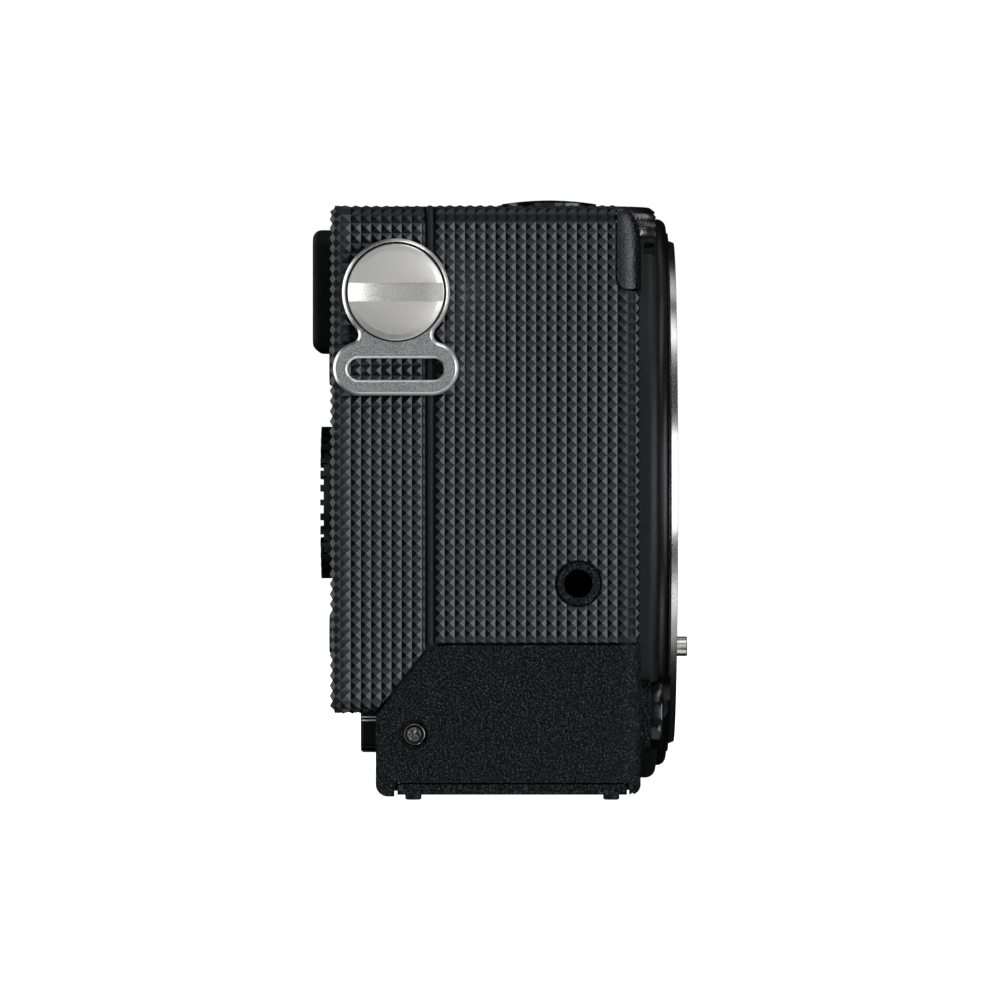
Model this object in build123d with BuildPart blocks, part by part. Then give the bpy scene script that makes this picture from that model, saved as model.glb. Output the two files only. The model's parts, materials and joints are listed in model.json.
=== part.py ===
from build123d import *
import os
from math import cos, sin, radians, sqrt

os.makedirs("parts", exist_ok=True)

# ---------------------------------------------------------------------------
# Mirrorless camera body, lens off.  Millimetres.
# Origin: axis of the tripod socket at the underside of the base plate.
# +Z up, -Y the way the lens points, -X the grip end (photographer's right).
# ---------------------------------------------------------------------------

# overall
X_GRIP, X_FAR = -62.0, 52.0          # outer faces of the two ends (texture tips)
Y_FRONT, Y_REAR = -16.1, 16.2        # front face (texture tips), main rear face
Z_TOP = 72.0                         # texture tips on the top edge
SKIN = 1.05                          # rubber skin, base and pyramids together
WALL = 1.3                           # cast shell wall

XG, XF = X_GRIP + SKIN, X_FAR - SKIN  # outer faces of the hard shells
YF = -15.05                          # front face of the cast front shell

# lens mount, on the optical axis
AX_Z = 36.95
HUMP_R, HUMP_Y = 36.7, -18.9
BEZEL_R, BEZEL_Y = 35.1, -20.2
SEAT_R, SEAT_Y = 33.3, -20.45
RING_R, RING_Y = 32.3, -21.26
THROAT_R = 25.8
LUG_R = 24.2                         # bayonet lugs

# rear grip
GRIP_Y = 21.84                       # rear face of the thumb panel (tips)
GRIP_X = -39.0                       # its inner edge
GRIP_Z0 = 9.8

# lower housing and base
HOUS_Z = 18.27                       # top of the smooth lower housing, front part
HOUS_YF, HOUS_YR = -16.16, 16.2
LIP_ZF, LIP_ZR = -0.12, -0.22
BASE_T = 1.25
BASE_Y0, BASE_Y1 = -14.45, 13.56
LEDGE_Z = 1.45
FOOT_R, FOOT_H = 1.0, 0.78

# controls
FD_X, FD_Y, FD_R = -49.0, -9.74, 8.5  # front dial
FD_Z0, FD_Z1 = 68.2, 71.97
SB_X, SB_Y, SB_R, SB_Z = -33.0, -5.07, 5.9, 73.4   # shutter button
DOME_R = 37.0                         # radius of its dome
CW_X, CW_Z, CW_R = -50.0, 35.64, 9.35  # rear control wheel
CW_Y0, CW_Y1 = 21.2, 23.02
MD_X, MD_Y, MD_R = 36.0, -2.0, 9.0    # mode dial
PD_X, PD_Y, PD_R = -14.0, -5.0, 5.2   # power dial
VB_X, VB_Y, VB_R = -22.5, 7.0, 2.6    # video button

# strap lugs
LUG_Y, LUG_Z = 13.72, 61.25
LUG_T = 1.0
SCREW_R = 5.9

# jack
JACK_Y, JACK_Z, JACK_R = -8.53, 25.74, 1.75

# small side screw
SS_Y, SS_Z = 11.5, 7.36

# lens release
LP_X, LP_Z, LP_R = -19.4, 17.45, 1.25
LB_X, LB_Z, LB_R = -25.0, 9.05, 4.525

# door hinge
HX, HZ = -25.2, 0.625

# monitor
MON_X0, MON_X1, MON_Z0, MON_Z1 = -30.0, 44.0, 4.3, 52.3
MON_Y0, MON_YG, MON_Y1 = 16.4, 18.1, 18.5
MH_Y, MH_Z = 17.45, 53.0

# eyepiece
EV_X0, EV_X1, EV_Z0, EV_Z1 = 21.0, 43.0, 55.35, 71.33
EV_Y1 = 25.57


def block(x0, x1, y0, y1, z0, z1, mode=Mode.ADD):
    """Axis-aligned box by its corners, in the running part."""
    with Locations(((x0 + x1) / 2, (y0 + y1) / 2, (z0 + z1) / 2)):
        Box(x1 - x0, y1 - y0, z1 - z0, mode=mode)


def rod_x(y, z, r, x0, x1, mode=Mode.ADD):
    """Cylinder along X."""
    with Locations(((x0 + x1) / 2, y, z)):
        Cylinder(r, x1 - x0, rotation=(0, 90, 0), mode=mode)


def rod_y(x, z, r, y0, y1, mode=Mode.ADD):
    """Cylinder along Y."""
    with Locations((x, (y0 + y1) / 2, z)):
        Cylinder(r, y1 - y0, rotation=(90, 0, 0), mode=mode)


def rod_z(x, y, r, z0, z1, mode=Mode.ADD):
    """Cylinder along Z."""
    with Locations((x, y, (z0 + z1) / 2)):
        Cylinder(r, z1 - z0, mode=mode)


def circle_edges(part, axis, value, tol=0.02):
    """Circular edges whose centre lies at a value along an axis."""
    i = {"X": 0, "Y": 1, "Z": 2}[axis]
    return [
        e
        for e in part.edges().filter_by(GeomType.CIRCLE)
        if abs(tuple(e.arc_center)[i] - value) < tol
    ]


# ===========================================================================
# Casings
# ===========================================================================

# Cast front shell: front plate, two end returns and the round mount hump
with BuildPart() as front_shell:
    rod_y(0, AX_Z, HUMP_R, HUMP_Y, YF)
    fillet(circle_edges(front_shell, "Y", HUMP_Y), 1.3)
    block(-45, 45, -30, -10, Z_TOP - 0.25, 90, mode=Mode.SUBTRACT)
    block(XG, XF, YF, YF + WALL, 2.7, 69.95)
    block(XG, XG + WALL, YF + WALL, 8.6, 18.9, 69.95)
    block(XF - WALL, XF, YF + WALL, 8.6, 18.9, 69.95)
    rod_y(0, AX_Z, 27.3, -20, -10, mode=Mode.SUBTRACT)
    # recess behind the seat of the bezel keeps the hump a shell
    with BuildSketch(Plane.XZ.offset(15.9)):
        with Locations((0, AX_Z)):
            Circle(34.6)
            Circle(30.2, mode=Mode.SUBTRACT)
        with Locations((0, 74.5)):
            Rectangle(60, 12, mode=Mode.SUBTRACT)
    extrude(amount=-3, mode=Mode.SUBTRACT)
    rod_y(LB_X, LB_Z, LB_R + 0.3, -20, -10, mode=Mode.SUBTRACT)
    rod_y(LP_X, LP_Z, LP_R + 0.1, -20, -10, mode=Mode.SUBTRACT)
    # pocket for the front dial
    rod_z(FD_X, FD_Y, FD_R + 0.5, FD_Z0 - 0.4, 75, mode=Mode.SUBTRACT)
    # small window in the rim of the hump, towards the grip
    with BuildSketch(Plane(origin=(-18.9, -17.8, AX_Z + 29.5), x_dir=(0, 1, 0), z_dir=(-19.8, 0, 30.92))):
        RectangleRounded(1.45, 3.1, 0.4)
    extrude(amount=4, mode=Mode.SUBTRACT)
    # bore of the jack and of the strap bosses in the end walls
    rod_x(JACK_Y, JACK_Z, 2.75, X_GRIP - 1, XG + 3, mode=Mode.SUBTRACT)
    # way for the ports at the far end
    block(XF - 2, XF + 1, -11.2, 3.2, 23, 49, mode=Mode.SUBTRACT)
front_shell.part.label = "front_shell"
export_step(front_shell.part, "parts/front_shell.step")

# Dark window in the rim of the hump
with BuildPart() as af_window:
    with BuildSketch(Plane(origin=(-18.9, -17.8, AX_Z + 29.5), x_dir=(0, 1, 0), z_dir=(-19.8, 0, 30.92))):
        RectangleRounded(1.4, 3.05, 0.38)
    extrude(amount=1.15)
af_window.part.label = "af_window"
export_step(af_window.part, "parts/af_window.step")

# Rear shell: rear plate and end returns
with BuildPart() as rear_shell:
    block(XG, XF, 8.7, 15.0, 1.75, 69.95)
    block(GRIP_X + 0.15, X_FAR - 0.15, 10.05, Y_REAR, GRIP_Z0, 69.95)
    fillet(
        rear_shell.edges().filter_by(Axis.Z).filter_by_position(Axis.X, X_FAR - 0.2, X_FAR).filter_by_position(Axis.Y, Y_REAR - 0.05, Y_REAR + 0.05),
        1.2,
    )
    block(XG + WALL, XF - WALL, 8.0, 13.7, 1.0, 75, mode=Mode.SUBTRACT)
    block(XG - 1, XF + 1, 8.0, 20, 1.0, 2.75, mode=Mode.SUBTRACT)
    # clear of the lower housing's end outline at the far end
    with BuildSketch(Plane.YZ.offset(XF - 0.05)):
        with BuildLine():
            Polyline((9, 5), (9, 18.2), (10.3, 17.3), (15.4, 10.9), (16.5, 9.7), (16.5, 5), close=True)
        make_face()
    extrude(amount=3, mode=Mode.SUBTRACT)
    # monitor hinge seats
    block(MON_X0 - 0.5, MON_X1 + 0.5, 15.95, 17, MH_Z - 1.6, MH_Z + 1.3, mode=Mode.SUBTRACT)
    # way through for the wheel and rear buttons
    rod_y(CW_X, CW_Z, 1.6, 10, 20, mode=Mode.SUBTRACT)
    for zz in (52.5, 19.5):
        rod_y(CW_X, zz, 1.3, 10, 20, mode=Mode.SUBTRACT)
    rod_x(LUG_Y, LUG_Z, 2.7, X_GRIP - 1, XG + 5, mode=Mode.SUBTRACT)
    rod_x(LUG_Y, LUG_Z, 2.7, XF - 5, X_FAR + 1, mode=Mode.SUBTRACT)
    rod_x(LUG_Y, LUG_Z, 3.45, X_FAR - 1.0, X_FAR + 1, mode=Mode.SUBTRACT)
    rod_x(SS_Y, SS_Z, 0.85, X_GRIP - 1, X_FAR + 1, mode=Mode.SUBTRACT)
    # eyepiece tunnel
    block(EV_X0 + 3, EV_X1 - 3, 10, 20, EV_Z0 + 3, EV_Z1 - 4, mode=Mode.SUBTRACT)
rear_shell.part.label = "rear_shell"
export_step(rear_shell.part, "parts/rear_shell.step")

# Top cover
with BuildPart() as top_cover:
    with BuildSketch(Plane.XY.offset(70.0)):
        with BuildLine():
            Polyline(
                (X_GRIP + 3.1, -13.1), (-30.9, -13.1), (-30.9, -15.9), (X_FAR - 3.1, -15.9),
                (X_FAR - 3.1, 16.1), (X_GRIP + 3.1, 16.1), close=True,
            )
        make_face()
    extrude(amount=1.8)
    fillet(
        top_cover.edges().filter_by(Axis.X).filter_by_position(Axis.Z, 71.75, 71.85),
        0.9,
    )
    rod_y(0, AX_Z, HUMP_R + 0.1, -20, YF + 0.05, mode=Mode.SUBTRACT)
    rod_z(FD_X, FD_Y, FD_R + 0.5, 60, 80, mode=Mode.SUBTRACT)
    rod_z(SB_X, SB_Y, SB_R + 0.35, 60, 80, mode=Mode.SUBTRACT)
    rod_z(MD_X, MD_Y, 3.1, 60, 80, mode=Mode.SUBTRACT)
    rod_z(MD_X, MD_Y, MD_R + 0.4, 71.3, 80, mode=Mode.SUBTRACT)
    rod_z(PD_X, PD_Y, PD_R + 0.3, 71.0, 80, mode=Mode.SUBTRACT)
    rod_z(PD_X, PD_Y, 1.6, 60, 80, mode=Mode.SUBTRACT)
    rod_z(VB_X, VB_Y, VB_R + 0.2, 60, 80, mode=Mode.SUBTRACT)
    # sunk bed of the accessory shoe, open to the rear
    block(-4.9, 16.9, -5.2, 20, 70.6, 80, mode=Mode.SUBTRACT)
    # stereo microphone holes
    with BuildSketch(Plane.XY.offset(72)):
        for px in (-3.0, 15.0):
            for dx in (-1.6, 0, 1.6):
                with Locations((px + dx, -9.2)):
                    Circle(0.4)
    extrude(amount=-3, mode=Mode.SUBTRACT)
top_cover.part.label = "top_cover"
export_step(top_cover.part, "parts/top_cover.step")

# Smooth lower housing: a tray with front and rear lips, the side outline
# steps down behind the rear grip
side_outline = [
    (HOUS_YF, LEDGE_Z), (HOUS_YF, HOUS_Z), (7.3, 18.2), (8.5, 18.05), (9.3, 17.7), (10.2, 17.1),
    (15.2, 10.75), (16.2, 9.6), (16.2, LEDGE_Z),
]
with BuildPart() as lower_housing:
    with BuildSketch(Plane.YZ.offset(X_GRIP)):
        with BuildLine():
            Polyline(*side_outline, close=True)
        make_face()
    extrude(amount=X_FAR - X_GRIP)
    # front and rear lips
    block(X_GRIP, X_FAR, HOUS_YF, -14.72, LIP_ZF, 3)
    block(X_GRIP, X_FAR, 13.93, HOUS_YR, LIP_ZR, 3)
    fillet(
        lower_housing.edges().filter_by(Axis.Z).filter_by_position(Axis.Y, -16.3, -16.0),
        2.4,
    )
    fillet(
        lower_housing.edges().filter_by(Axis.X).filter_by_position(Axis.Z, -0.3, 0.1).filter_by_position(Axis.Y, -16.3, -16.0),
        1.3,
    )
    fillet(
        lower_housing.edges().filter_by(Axis.X).filter_by_position(Axis.Z, -0.3, 0.1).filter_by_position(Axis.Y, 16.0, 16.3),
        1.5,
    )
    # boss of the lens release button
    rod_y(LB_X, LB_Z, 5.15, -17.85, -15.6)
    # hollow above the ledge
    block(XG - 0.02, XF + 0.02, YF - 0.05, 15.05, 2.65, 30, mode=Mode.SUBTRACT)
    block(XG - 0.02, XF + 0.02, 15.0, 20, 9.65, 12, mode=Mode.SUBTRACT)
    # lips thin out behind the end walls, so that the slits run on
    block(XG + 0.05, XF - 0.05, -15.3, -14.0, -1, LEDGE_Z, mode=Mode.SUBTRACT)
    block(XG + 0.05, XF - 0.05, 13.5, 14.42, -1, LEDGE_Z, mode=Mode.SUBTRACT)
    # ribs across the slits beside the base
    block(-41.0, -39.0, -15.4, -14.52, LIP_ZF + 0.05, LEDGE_Z + 0.1)
    block(-41.0, -39.0, 13.63, 14.5, LIP_ZR + 0.05, LEDGE_Z + 0.1)
    # hump passes in front
    rod_y(0, AX_Z, HUMP_R + 0.1, -20, YF + 0.05, mode=Mode.SUBTRACT)
    rod_y(LB_X, LB_Z, LB_R + 0.2, -20, -10, mode=Mode.SUBTRACT)
    # battery and card mouth, socket, screws
    block(-47.2, -26.9, -13.3, 13.3, 0, 5, mode=Mode.SUBTRACT)
    rod_z(0, 0, 5.7, 0, 5, mode=Mode.SUBTRACT)
    with Locations((-18, -10, 2), (-18, 10, 2), (44, -10, 2), (44, 10, 2)):
        Cylinder(0.85, 6, mode=Mode.SUBTRACT)
    # side screw seats
    rod_x(SS_Y, SS_Z, 1.5, X_GRIP - 1, X_GRIP + 0.55, mode=Mode.SUBTRACT)
    rod_x(SS_Y, SS_Z, 0.85, X_GRIP - 1, XG + 1, mode=Mode.SUBTRACT)
    rod_x(SS_Y, SS_Z, 1.5, X_FAR - 0.55, X_FAR + 1, mode=Mode.SUBTRACT)
    rod_x(SS_Y, SS_Z, 0.85, XF - 1, X_FAR + 1, mode=Mode.SUBTRACT)
    with Locations((X_GRIP + 0.12, SS_Y, SS_Z)):
        Cone(1.88, 1.5, 0.24, rotation=(0, 90, 0), mode=Mode.SUBTRACT)
    with Locations((X_FAR - 0.12, SS_Y, SS_Z)):
        Cone(1.5, 1.88, 0.24, rotation=(0, 90, 0), mode=Mode.SUBTRACT)
lower_housing.part.label = "lower_housing"
export_step(lower_housing.part, "parts/lower_housing.step")

# Base plate with the hinge ears of the battery door
with BuildPart() as base_plate:
    block(HX + 0.95, X_FAR - 0.1, BASE_Y0, BASE_Y1, 0, BASE_T)
    fillet(
        base_plate.edges().filter_by(Axis.X).filter_by_position(Axis.Z, 1.2, 1.3),
        0.4,
    )
    with Locations((HX, -12.2, HZ), (HX, 11.2, HZ)):
        Cylinder(0.62, 3.6, rotation=(90, 0, 0))
    with Locations((HX + 0.6, -12.2, HZ), (HX + 0.6, 11.2, HZ)):
        Box(1.2, 3.6, 1.0)
    with Locations((HX, 0, HZ)):
        Cylinder(0.42, 40, rotation=(90, 0, 0), mode=Mode.SUBTRACT)
    rod_z(0, 0, 5.05, -1, 3, mode=Mode.SUBTRACT)
    with Locations((-18, -10, 0), (-18, 10, 0), (44, -10, 0), (44, 10, 0)):
        Cylinder(1.0, 4, mode=Mode.SUBTRACT)
    with Locations((-18, -10, 0), (-18, 10, 0), (44, -10, 0), (44, 10, 0)):
        Cylinder(1.6, 1.4, mode=Mode.SUBTRACT)
base_plate.part.label = "base_plate"
export_step(base_plate.part, "parts/base_plate.step")

# Base screws
with BuildPart() as base_screws:
    for sx, sy in ((-18, -10), (-18, 10), (44, -10), (44, 10)):
        rod_z(sx, sy, 1.5, 0.1, 0.65)
        rod_z(sx, sy, 0.8, 0.6, 4.6)
        rod_z(sx, sy, 0.45, 0.0, 0.4, mode=Mode.SUBTRACT)
base_screws.part.label = "base_screws"
export_step(base_screws.part, "parts/base_screws.step")

# Battery door
with BuildPart() as battery_door:
    block(X_GRIP + 0.1, HX - 0.75, BASE_Y0, BASE_Y1, 0, BASE_T)
    fillet(
        battery_door.edges().filter_by(Axis.X).filter_by_position(Axis.Z, 1.2, 1.3),
        0.5,
    )
    with Locations((HX, -0.5, HZ)):
        Cylinder(0.6, 19.2, rotation=(90, 0, 0))
    with Locations((HX - 0.55, -0.5, HZ)):
        Box(1.1, 19.2, 0.96)
    with Locations((HX, 0, HZ)):
        Cylinder(0.45, 40, rotation=(90, 0, 0), mode=Mode.SUBTRACT)
    # track of the latch
    block(-59.6, -50.4, -3.3, 3.3, -1, 0.85, mode=Mode.SUBTRACT)
battery_door.part.label = "battery_door"
export_step(battery_door.part, "parts/battery_door.step")

with BuildPart() as door_hinge_pin:
    with Locations((HX, -0.5, HZ)):
        Cylinder(0.4, 26.8, rotation=(90, 0, 0))
door_hinge_pin.part.label = "door_hinge_pin"
export_step(door_hinge_pin.part, "parts/door_hinge_pin.step")

with BuildPart() as door_latch:
    block(-59.5, -53.2, -3.2, 3.2, 0.1, 0.75)
    with Locations((-58.4, 0, 0.1), (-57.3, 0, 0.1), (-56.2, 0, 0.1)):
        Box(0.4, 4.6, 0.3, mode=Mode.SUBTRACT)
door_latch.part.label = "door_latch"
export_step(door_latch.part, "parts/door_latch.step")

# Feet
with BuildPart() as door_feet:
    for fx, fy in ((-56.0, 11.66), (-56.0, -12.6)):
        rod_z(fx, fy, FOOT_R, -FOOT_H, 0)
    fillet(circle_edges(door_feet, "Z", -FOOT_H), 0.25)
door_feet.part.label = "door_feet"
export_step(door_feet.part, "parts/door_feet.step")

with BuildPart() as base_feet:
    for fx, fy in ((46.0, 11.66), (46.0, -12.6)):
        rod_z(fx, fy, FOOT_R, -FOOT_H, 0)
    fillet(circle_edges(base_feet, "Z", -FOOT_H), 0.25)
base_feet.part.label = "base_feet"
export_step(base_feet.part, "parts/base_feet.step")

# Tripod socket bush, 1/4 inch
with BuildPart() as tripod_socket:
    rod_z(0, 0, 5.0, 0, 6.5)
    rod_z(0, 0, 7.5, 2.7, 3.9)
    rod_z(0, 0, 2.6, -1, 5.5, mode=Mode.SUBTRACT)
tripod_socket.part.label = "tripod_socket"
export_step(tripod_socket.part, "parts/tripod_socket.step")

# ===========================================================================
# Rubber skins and trims
# ===========================================================================

# Textured skin of the grip end: side, front and a fold over the top edge
with BuildPart() as front_grip_skin:
    block(X_GRIP, -28.0, Y_FRONT, 8.92, HOUS_Z + 0.2, Z_TOP)
    fillet(
        front_grip_skin.edges().filter_by(Axis.Z).filter_by_position(Axis.X, X_GRIP - 0.1, X_GRIP + 0.1).filter_by_position(Axis.Y, Y_FRONT - 0.1, Y_FRONT + 0.1),
        1.4,
    )
    block(XG - 0.05, -20, YF - 0.05, 20, 0, 80, mode=Mode.SUBTRACT)
    block(X_GRIP + 3.0, -20, -30, 20, 69.95, 80, mode=Mode.SUBTRACT)
    # fold over the top edge
    block(X_GRIP + 0.6, X_GRIP + 3.0, -13.0, 8.92, 70.95, Z_TOP)
    # clear of the corner rail and of the hump
    block(X_GRIP - 1, -20, -20, -13.15, 61.35, 80, mode=Mode.SUBTRACT)
    rod_y(0, AX_Z, HUMP_R + 0.15, -25, 0, mode=Mode.SUBTRACT)
    rod_x(JACK_Y, JACK_Z, 2.9, X_GRIP - 1, X_GRIP + 4, mode=Mode.SUBTRACT)
    rod_z(FD_X, FD_Y, FD_R + 0.5, FD_Z0 - 0.4, 75, mode=Mode.SUBTRACT)
    rod_y(LB_X, LB_Z, 5.4, -20, -10, mode=Mode.SUBTRACT)
front_grip_skin.part.label = "front_grip_skin"
export_step(front_grip_skin.part, "parts/front_grip_skin.step")

# Textured skin of the far end
with BuildPart() as far_grip_skin:
    block(28.0, X_FAR, Y_FRONT, 8.92, HOUS_Z + 0.2, Z_TOP)
    fillet(
        far_grip_skin.edges().filter_by(Axis.Z).filter_by_position(Axis.X, X_FAR - 0.1, X_FAR + 0.1).filter_by_position(Axis.Y, Y_FRONT - 0.1, Y_FRONT + 0.1),
        1.4,
    )
    block(20, XF + 0.05, YF - 0.05, 20, 0, 80, mode=Mode.SUBTRACT)
    block(20, X_FAR - 3.0, -30, 20, 69.95, 80, mode=Mode.SUBTRACT)
    block(X_FAR - 3.0, X_FAR - 0.6, Y_FRONT + 0.6, 8.92, 70.95, Z_TOP)
    rod_y(0, AX_Z, HUMP_R + 0.15, -25, 0, mode=Mode.SUBTRACT)
    # mouth of the port door
    block(XF - 2, X_FAR + 1, -12.6, 4.6, 21.6, 50.4, mode=Mode.SUBTRACT)
far_grip_skin.part.label = "far_grip_skin"
export_step(far_grip_skin.part, "parts/far_grip_skin.step")

# Grained rail at the front top corner, with the slot of the front dial
with BuildPart() as corner_cap:
    with BuildSketch(Plane.YZ.offset(X_GRIP)):
        with BuildLine():
            Polyline((-13.25, 61.6), (-16.2, 61.6), (-16.2, 71.6), (-13.25, 71.6), close=True)
        make_face()
    extrude(amount=X_GRIP * -1 - 31.0)
    fillet(
        corner_cap.edges().filter_by(Axis.X).filter_by_position(Axis.Z, 71.5, 71.7).filter_by_position(Axis.Y, -16.3, -16.1),
        2.6,
    )
    fillet(
        corner_cap.edges().filter_by(Axis.Z).filter_by_position(Axis.X, X_GRIP - 0.1, X_GRIP + 0.1).filter_by_position(Axis.Y, -16.3, -16.1),
        1.4,
    )
    block(XG - 0.05, -20, YF - 0.05, -10, 50, 69.98, mode=Mode.SUBTRACT)
    rod_y(0, AX_Z, HUMP_R + 0.15, -25, 0, mode=Mode.SUBTRACT)
    rod_z(FD_X, FD_Y, FD_R + 0.45, FD_Z0 - 0.35, 75, mode=Mode.SUBTRACT)
corner_cap.part.label = "corner_cap"
export_step(corner_cap.part, "parts/corner_cap.step")

# Narrow seam strips between the skins, one at each end
with BuildPart() as seam_strips:
    block(X_GRIP + 0.1, XG - 0.05, 9.21, 9.97, 18.3, Z_TOP - 0.1)
    block(X_GRIP + 0.1, X_GRIP + 3.0, 9.21, 9.97, 70.95, Z_TOP - 0.1)
    block(XF + 0.05, X_FAR - 0.1, 9.21, 9.95, 18.3, Z_TOP - 0.1)
    block(X_FAR - 3.0, X_FAR - 0.1, 9.21, 9.95, 70.95, Z_TOP - 0.1)
seam_strips.part.label = "seam_strips"
export_step(seam_strips.part, "parts/seam_strips.step")

# Core of the rear grip
with BuildPart() as rear_grip_core:
    block(XG, GRIP_X - 1.1, Y_REAR + 0.05, GRIP_Y - 1.1, GRIP_Z0 + 1.1, 70.9)
    rod_y(CW_X, CW_Z, 8.2, 19.0, 25, mode=Mode.SUBTRACT)
    rod_y(CW_X, CW_Z, 1.6, 10, 25, mode=Mode.SUBTRACT)
    for zz in (52.5, 19.5):
        rod_y(CW_X, zz, 2.6, 17.9, 25, mode=Mode.SUBTRACT)
        rod_y(CW_X, zz, 1.3, 10, 25, mode=Mode.SUBTRACT)
    rod_x(LUG_Y, LUG_Z, 2.7, X_GRIP - 1, XG + 5, mode=Mode.SUBTRACT)
rear_grip_core.part.label = "rear_grip_core"
export_step(rear_grip_core.part, "parts/rear_grip_core.step")

# Textured skin of the rear grip
with BuildPart() as rear_grip_skin:
    with BuildSketch(Plane.YZ.offset(X_GRIP)):
        with BuildLine():
            Polyline(
                (GRIP_Y, GRIP_Z0), (16.5, GRIP_Z0), (15.55, 10.95), (10.5, 17.35), (10.24, 17.65),
                (10.24, Z_TOP), (GRIP_Y, Z_TOP), close=True,
            )
        make_face()
    extrude(amount=GRIP_X - X_GRIP)
    fillet(
        rear_grip_skin.edges().filter_by_position(Axis.Y, GRIP_Y - 0.05, GRIP_Y + 0.05),
        1.0,
    )
    block(XG - 0.05, GRIP_X + 1, 9, Y_REAR + 0.02, 0, 80, mode=Mode.SUBTRACT)
    block(XG - 0.05, GRIP_X - 1.05, Y_REAR - 0.1, GRIP_Y - 1.05, GRIP_Z0 + 1.05, 70.95, mode=Mode.SUBTRACT)
    block(X_GRIP + 0.6, X_GRIP + 3.0, 10.24, Y_REAR + 0.02, 70.95, Z_TOP)
    rod_y(CW_X, CW_Z, CW_R + 0.35, 20.5, 25, mode=Mode.SUBTRACT)
    rod_y(CW_X, CW_Z, 8.2, 18, 25, mode=Mode.SUBTRACT)
    for zz in (52.5, 19.5):
        rod_y(CW_X, zz, 2.75, 18, 25, mode=Mode.SUBTRACT)
    rod_x(LUG_Y, LUG_Z, 3.45, X_GRIP - 1, X_GRIP + 3, mode=Mode.SUBTRACT)
rear_grip_skin.part.label = "rear_grip_skin"
export_step(rear_grip_skin.part, "parts/rear_grip_skin.step")

# ===========================================================================
# Lens mount
# ===========================================================================

# Black bezel between hump and steel ring
with BuildPart() as mount_bezel:
    rod_y(0, AX_Z, BEZEL_R, BEZEL_Y, HUMP_Y)
    fillet(circle_edges(mount_bezel, "Y", BEZEL_Y), 1.15)
    rod_y(0, AX_Z, SEAT_R, SEAT_Y, HUMP_Y)
    rod_y(0, AX_Z, 27.3, -25, -10, mode=Mode.SUBTRACT)
    rod_y(LB_X, LB_Z, LB_R + 0.3, -25, -10, mode=Mode.SUBTRACT)
    rod_y(LP_X, LP_Z, LP_R + 0.1, -25, -10, mode=Mode.SUBTRACT)
    block(-45, 45, -30, -10, Z_TOP + 0.1, 90, mode=Mode.SUBTRACT)
mount_bezel.part.label = "mount_bezel"
export_step(mount_bezel.part, "parts/mount_bezel.step")

# Steel mount ring with three bayonet lugs
with BuildPart() as mount_ring:
    # the visible band tapers towards the lens
    with Locations((0, (RING_Y + SEAT_Y) / 2, AX_Z)):
        Cone(RING_R + 0.06, RING_R - 0.24, SEAT_Y - RING_Y, rotation=(90, 0, 0))
    chamfer(circle_edges(mount_ring, "Y", RING_Y), 0.06)
    rod_y(0, AX_Z, 27.1, SEAT_Y, -17.2)
    rod_y(0, AX_Z, THROAT_R, -25, -10, mode=Mode.SUBTRACT)
    rod_y(0, AX_Z, 26.2, -17.9, -10, mode=Mode.SUBTRACT)
    # bayonet lugs at the back of the throat
    with BuildSketch(Plane.XZ.offset(17.5)):
        with Locations((0, AX_Z)):
            Circle(26.3)
            Circle(LUG_R, mode=Mode.SUBTRACT)
            for a in (30, 150, 270):
                with PolarLocations(20, 1, start_angle=a):
                    Rectangle(30, 24, mode=Mode.SUBTRACT)
    extrude(amount=-1.2)
    # screw seats
    with BuildSketch(Plane.XZ.offset(-RING_Y)):
        with Locations((0, AX_Z)):
            with PolarLocations(29.3, 6, start_angle=0):
                Circle(1.35)
    extrude(amount=-0.7, mode=Mode.SUBTRACT)
    with BuildSketch(Plane.XZ.offset(-RING_Y)):
        with Locations((0, AX_Z)):
            with PolarLocations(29.3, 6, start_angle=0):
                Circle(0.78)
    extrude(amount=-1.2, mode=Mode.SUBTRACT)
    rod_y(LP_X, LP_Z, LP_R + 0.1, -25, -10, mode=Mode.SUBTRACT)
mount_ring.part.label = "mount_ring"
export_step(mount_ring.part, "parts/mount_ring.step")

with BuildPart() as mount_screws:
    with BuildSketch(Plane.XZ.offset(21.2)):
        with Locations((0, AX_Z)):
            with PolarLocations(29.3, 6, start_angle=0):
                Circle(1.3)
    extrude(amount=-0.6)
    with BuildSketch(Plane.XZ.offset(21.2)):
        with Locations((0, AX_Z)):
            with PolarLocations(29.3, 6, start_angle=0):
                Circle(0.75)
    extrude(amount=-0.74)
    with BuildSketch(Plane.XZ.offset(21.2)):
        with Locations((0, AX_Z)):
            with PolarLocations(29.3, 6, start_angle=0):
                Rectangle(1.5, 0.35)
                Rectangle(0.35, 1.5)
    extrude(amount=-0.35, mode=Mode.SUBTRACT)
mount_screws.part.label = "mount_screws"
export_step(mount_screws.part, "parts/mount_screws.step")

# Sleeve behind the ring with the rectangular light baffle
with BuildPart() as throat_baffle:
    rod_y(0, AX_Z, 27.1, -17.15, -10.6)
    rod_y(0, AX_Z, 26.4, -18, -11.6, mode=Mode.SUBTRACT)
    block(-21, 21, -12, -10, AX_Z - 15.5, AX_Z + 15.5, mode=Mode.SUBTRACT)
    rod_y(LP_X, LP_Z, 2.3, -18, -10, mode=Mode.SUBTRACT)
throat_baffle.part.label = "throat_baffle"
export_step(throat_baffle.part, "parts/throat_baffle.step")

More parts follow.
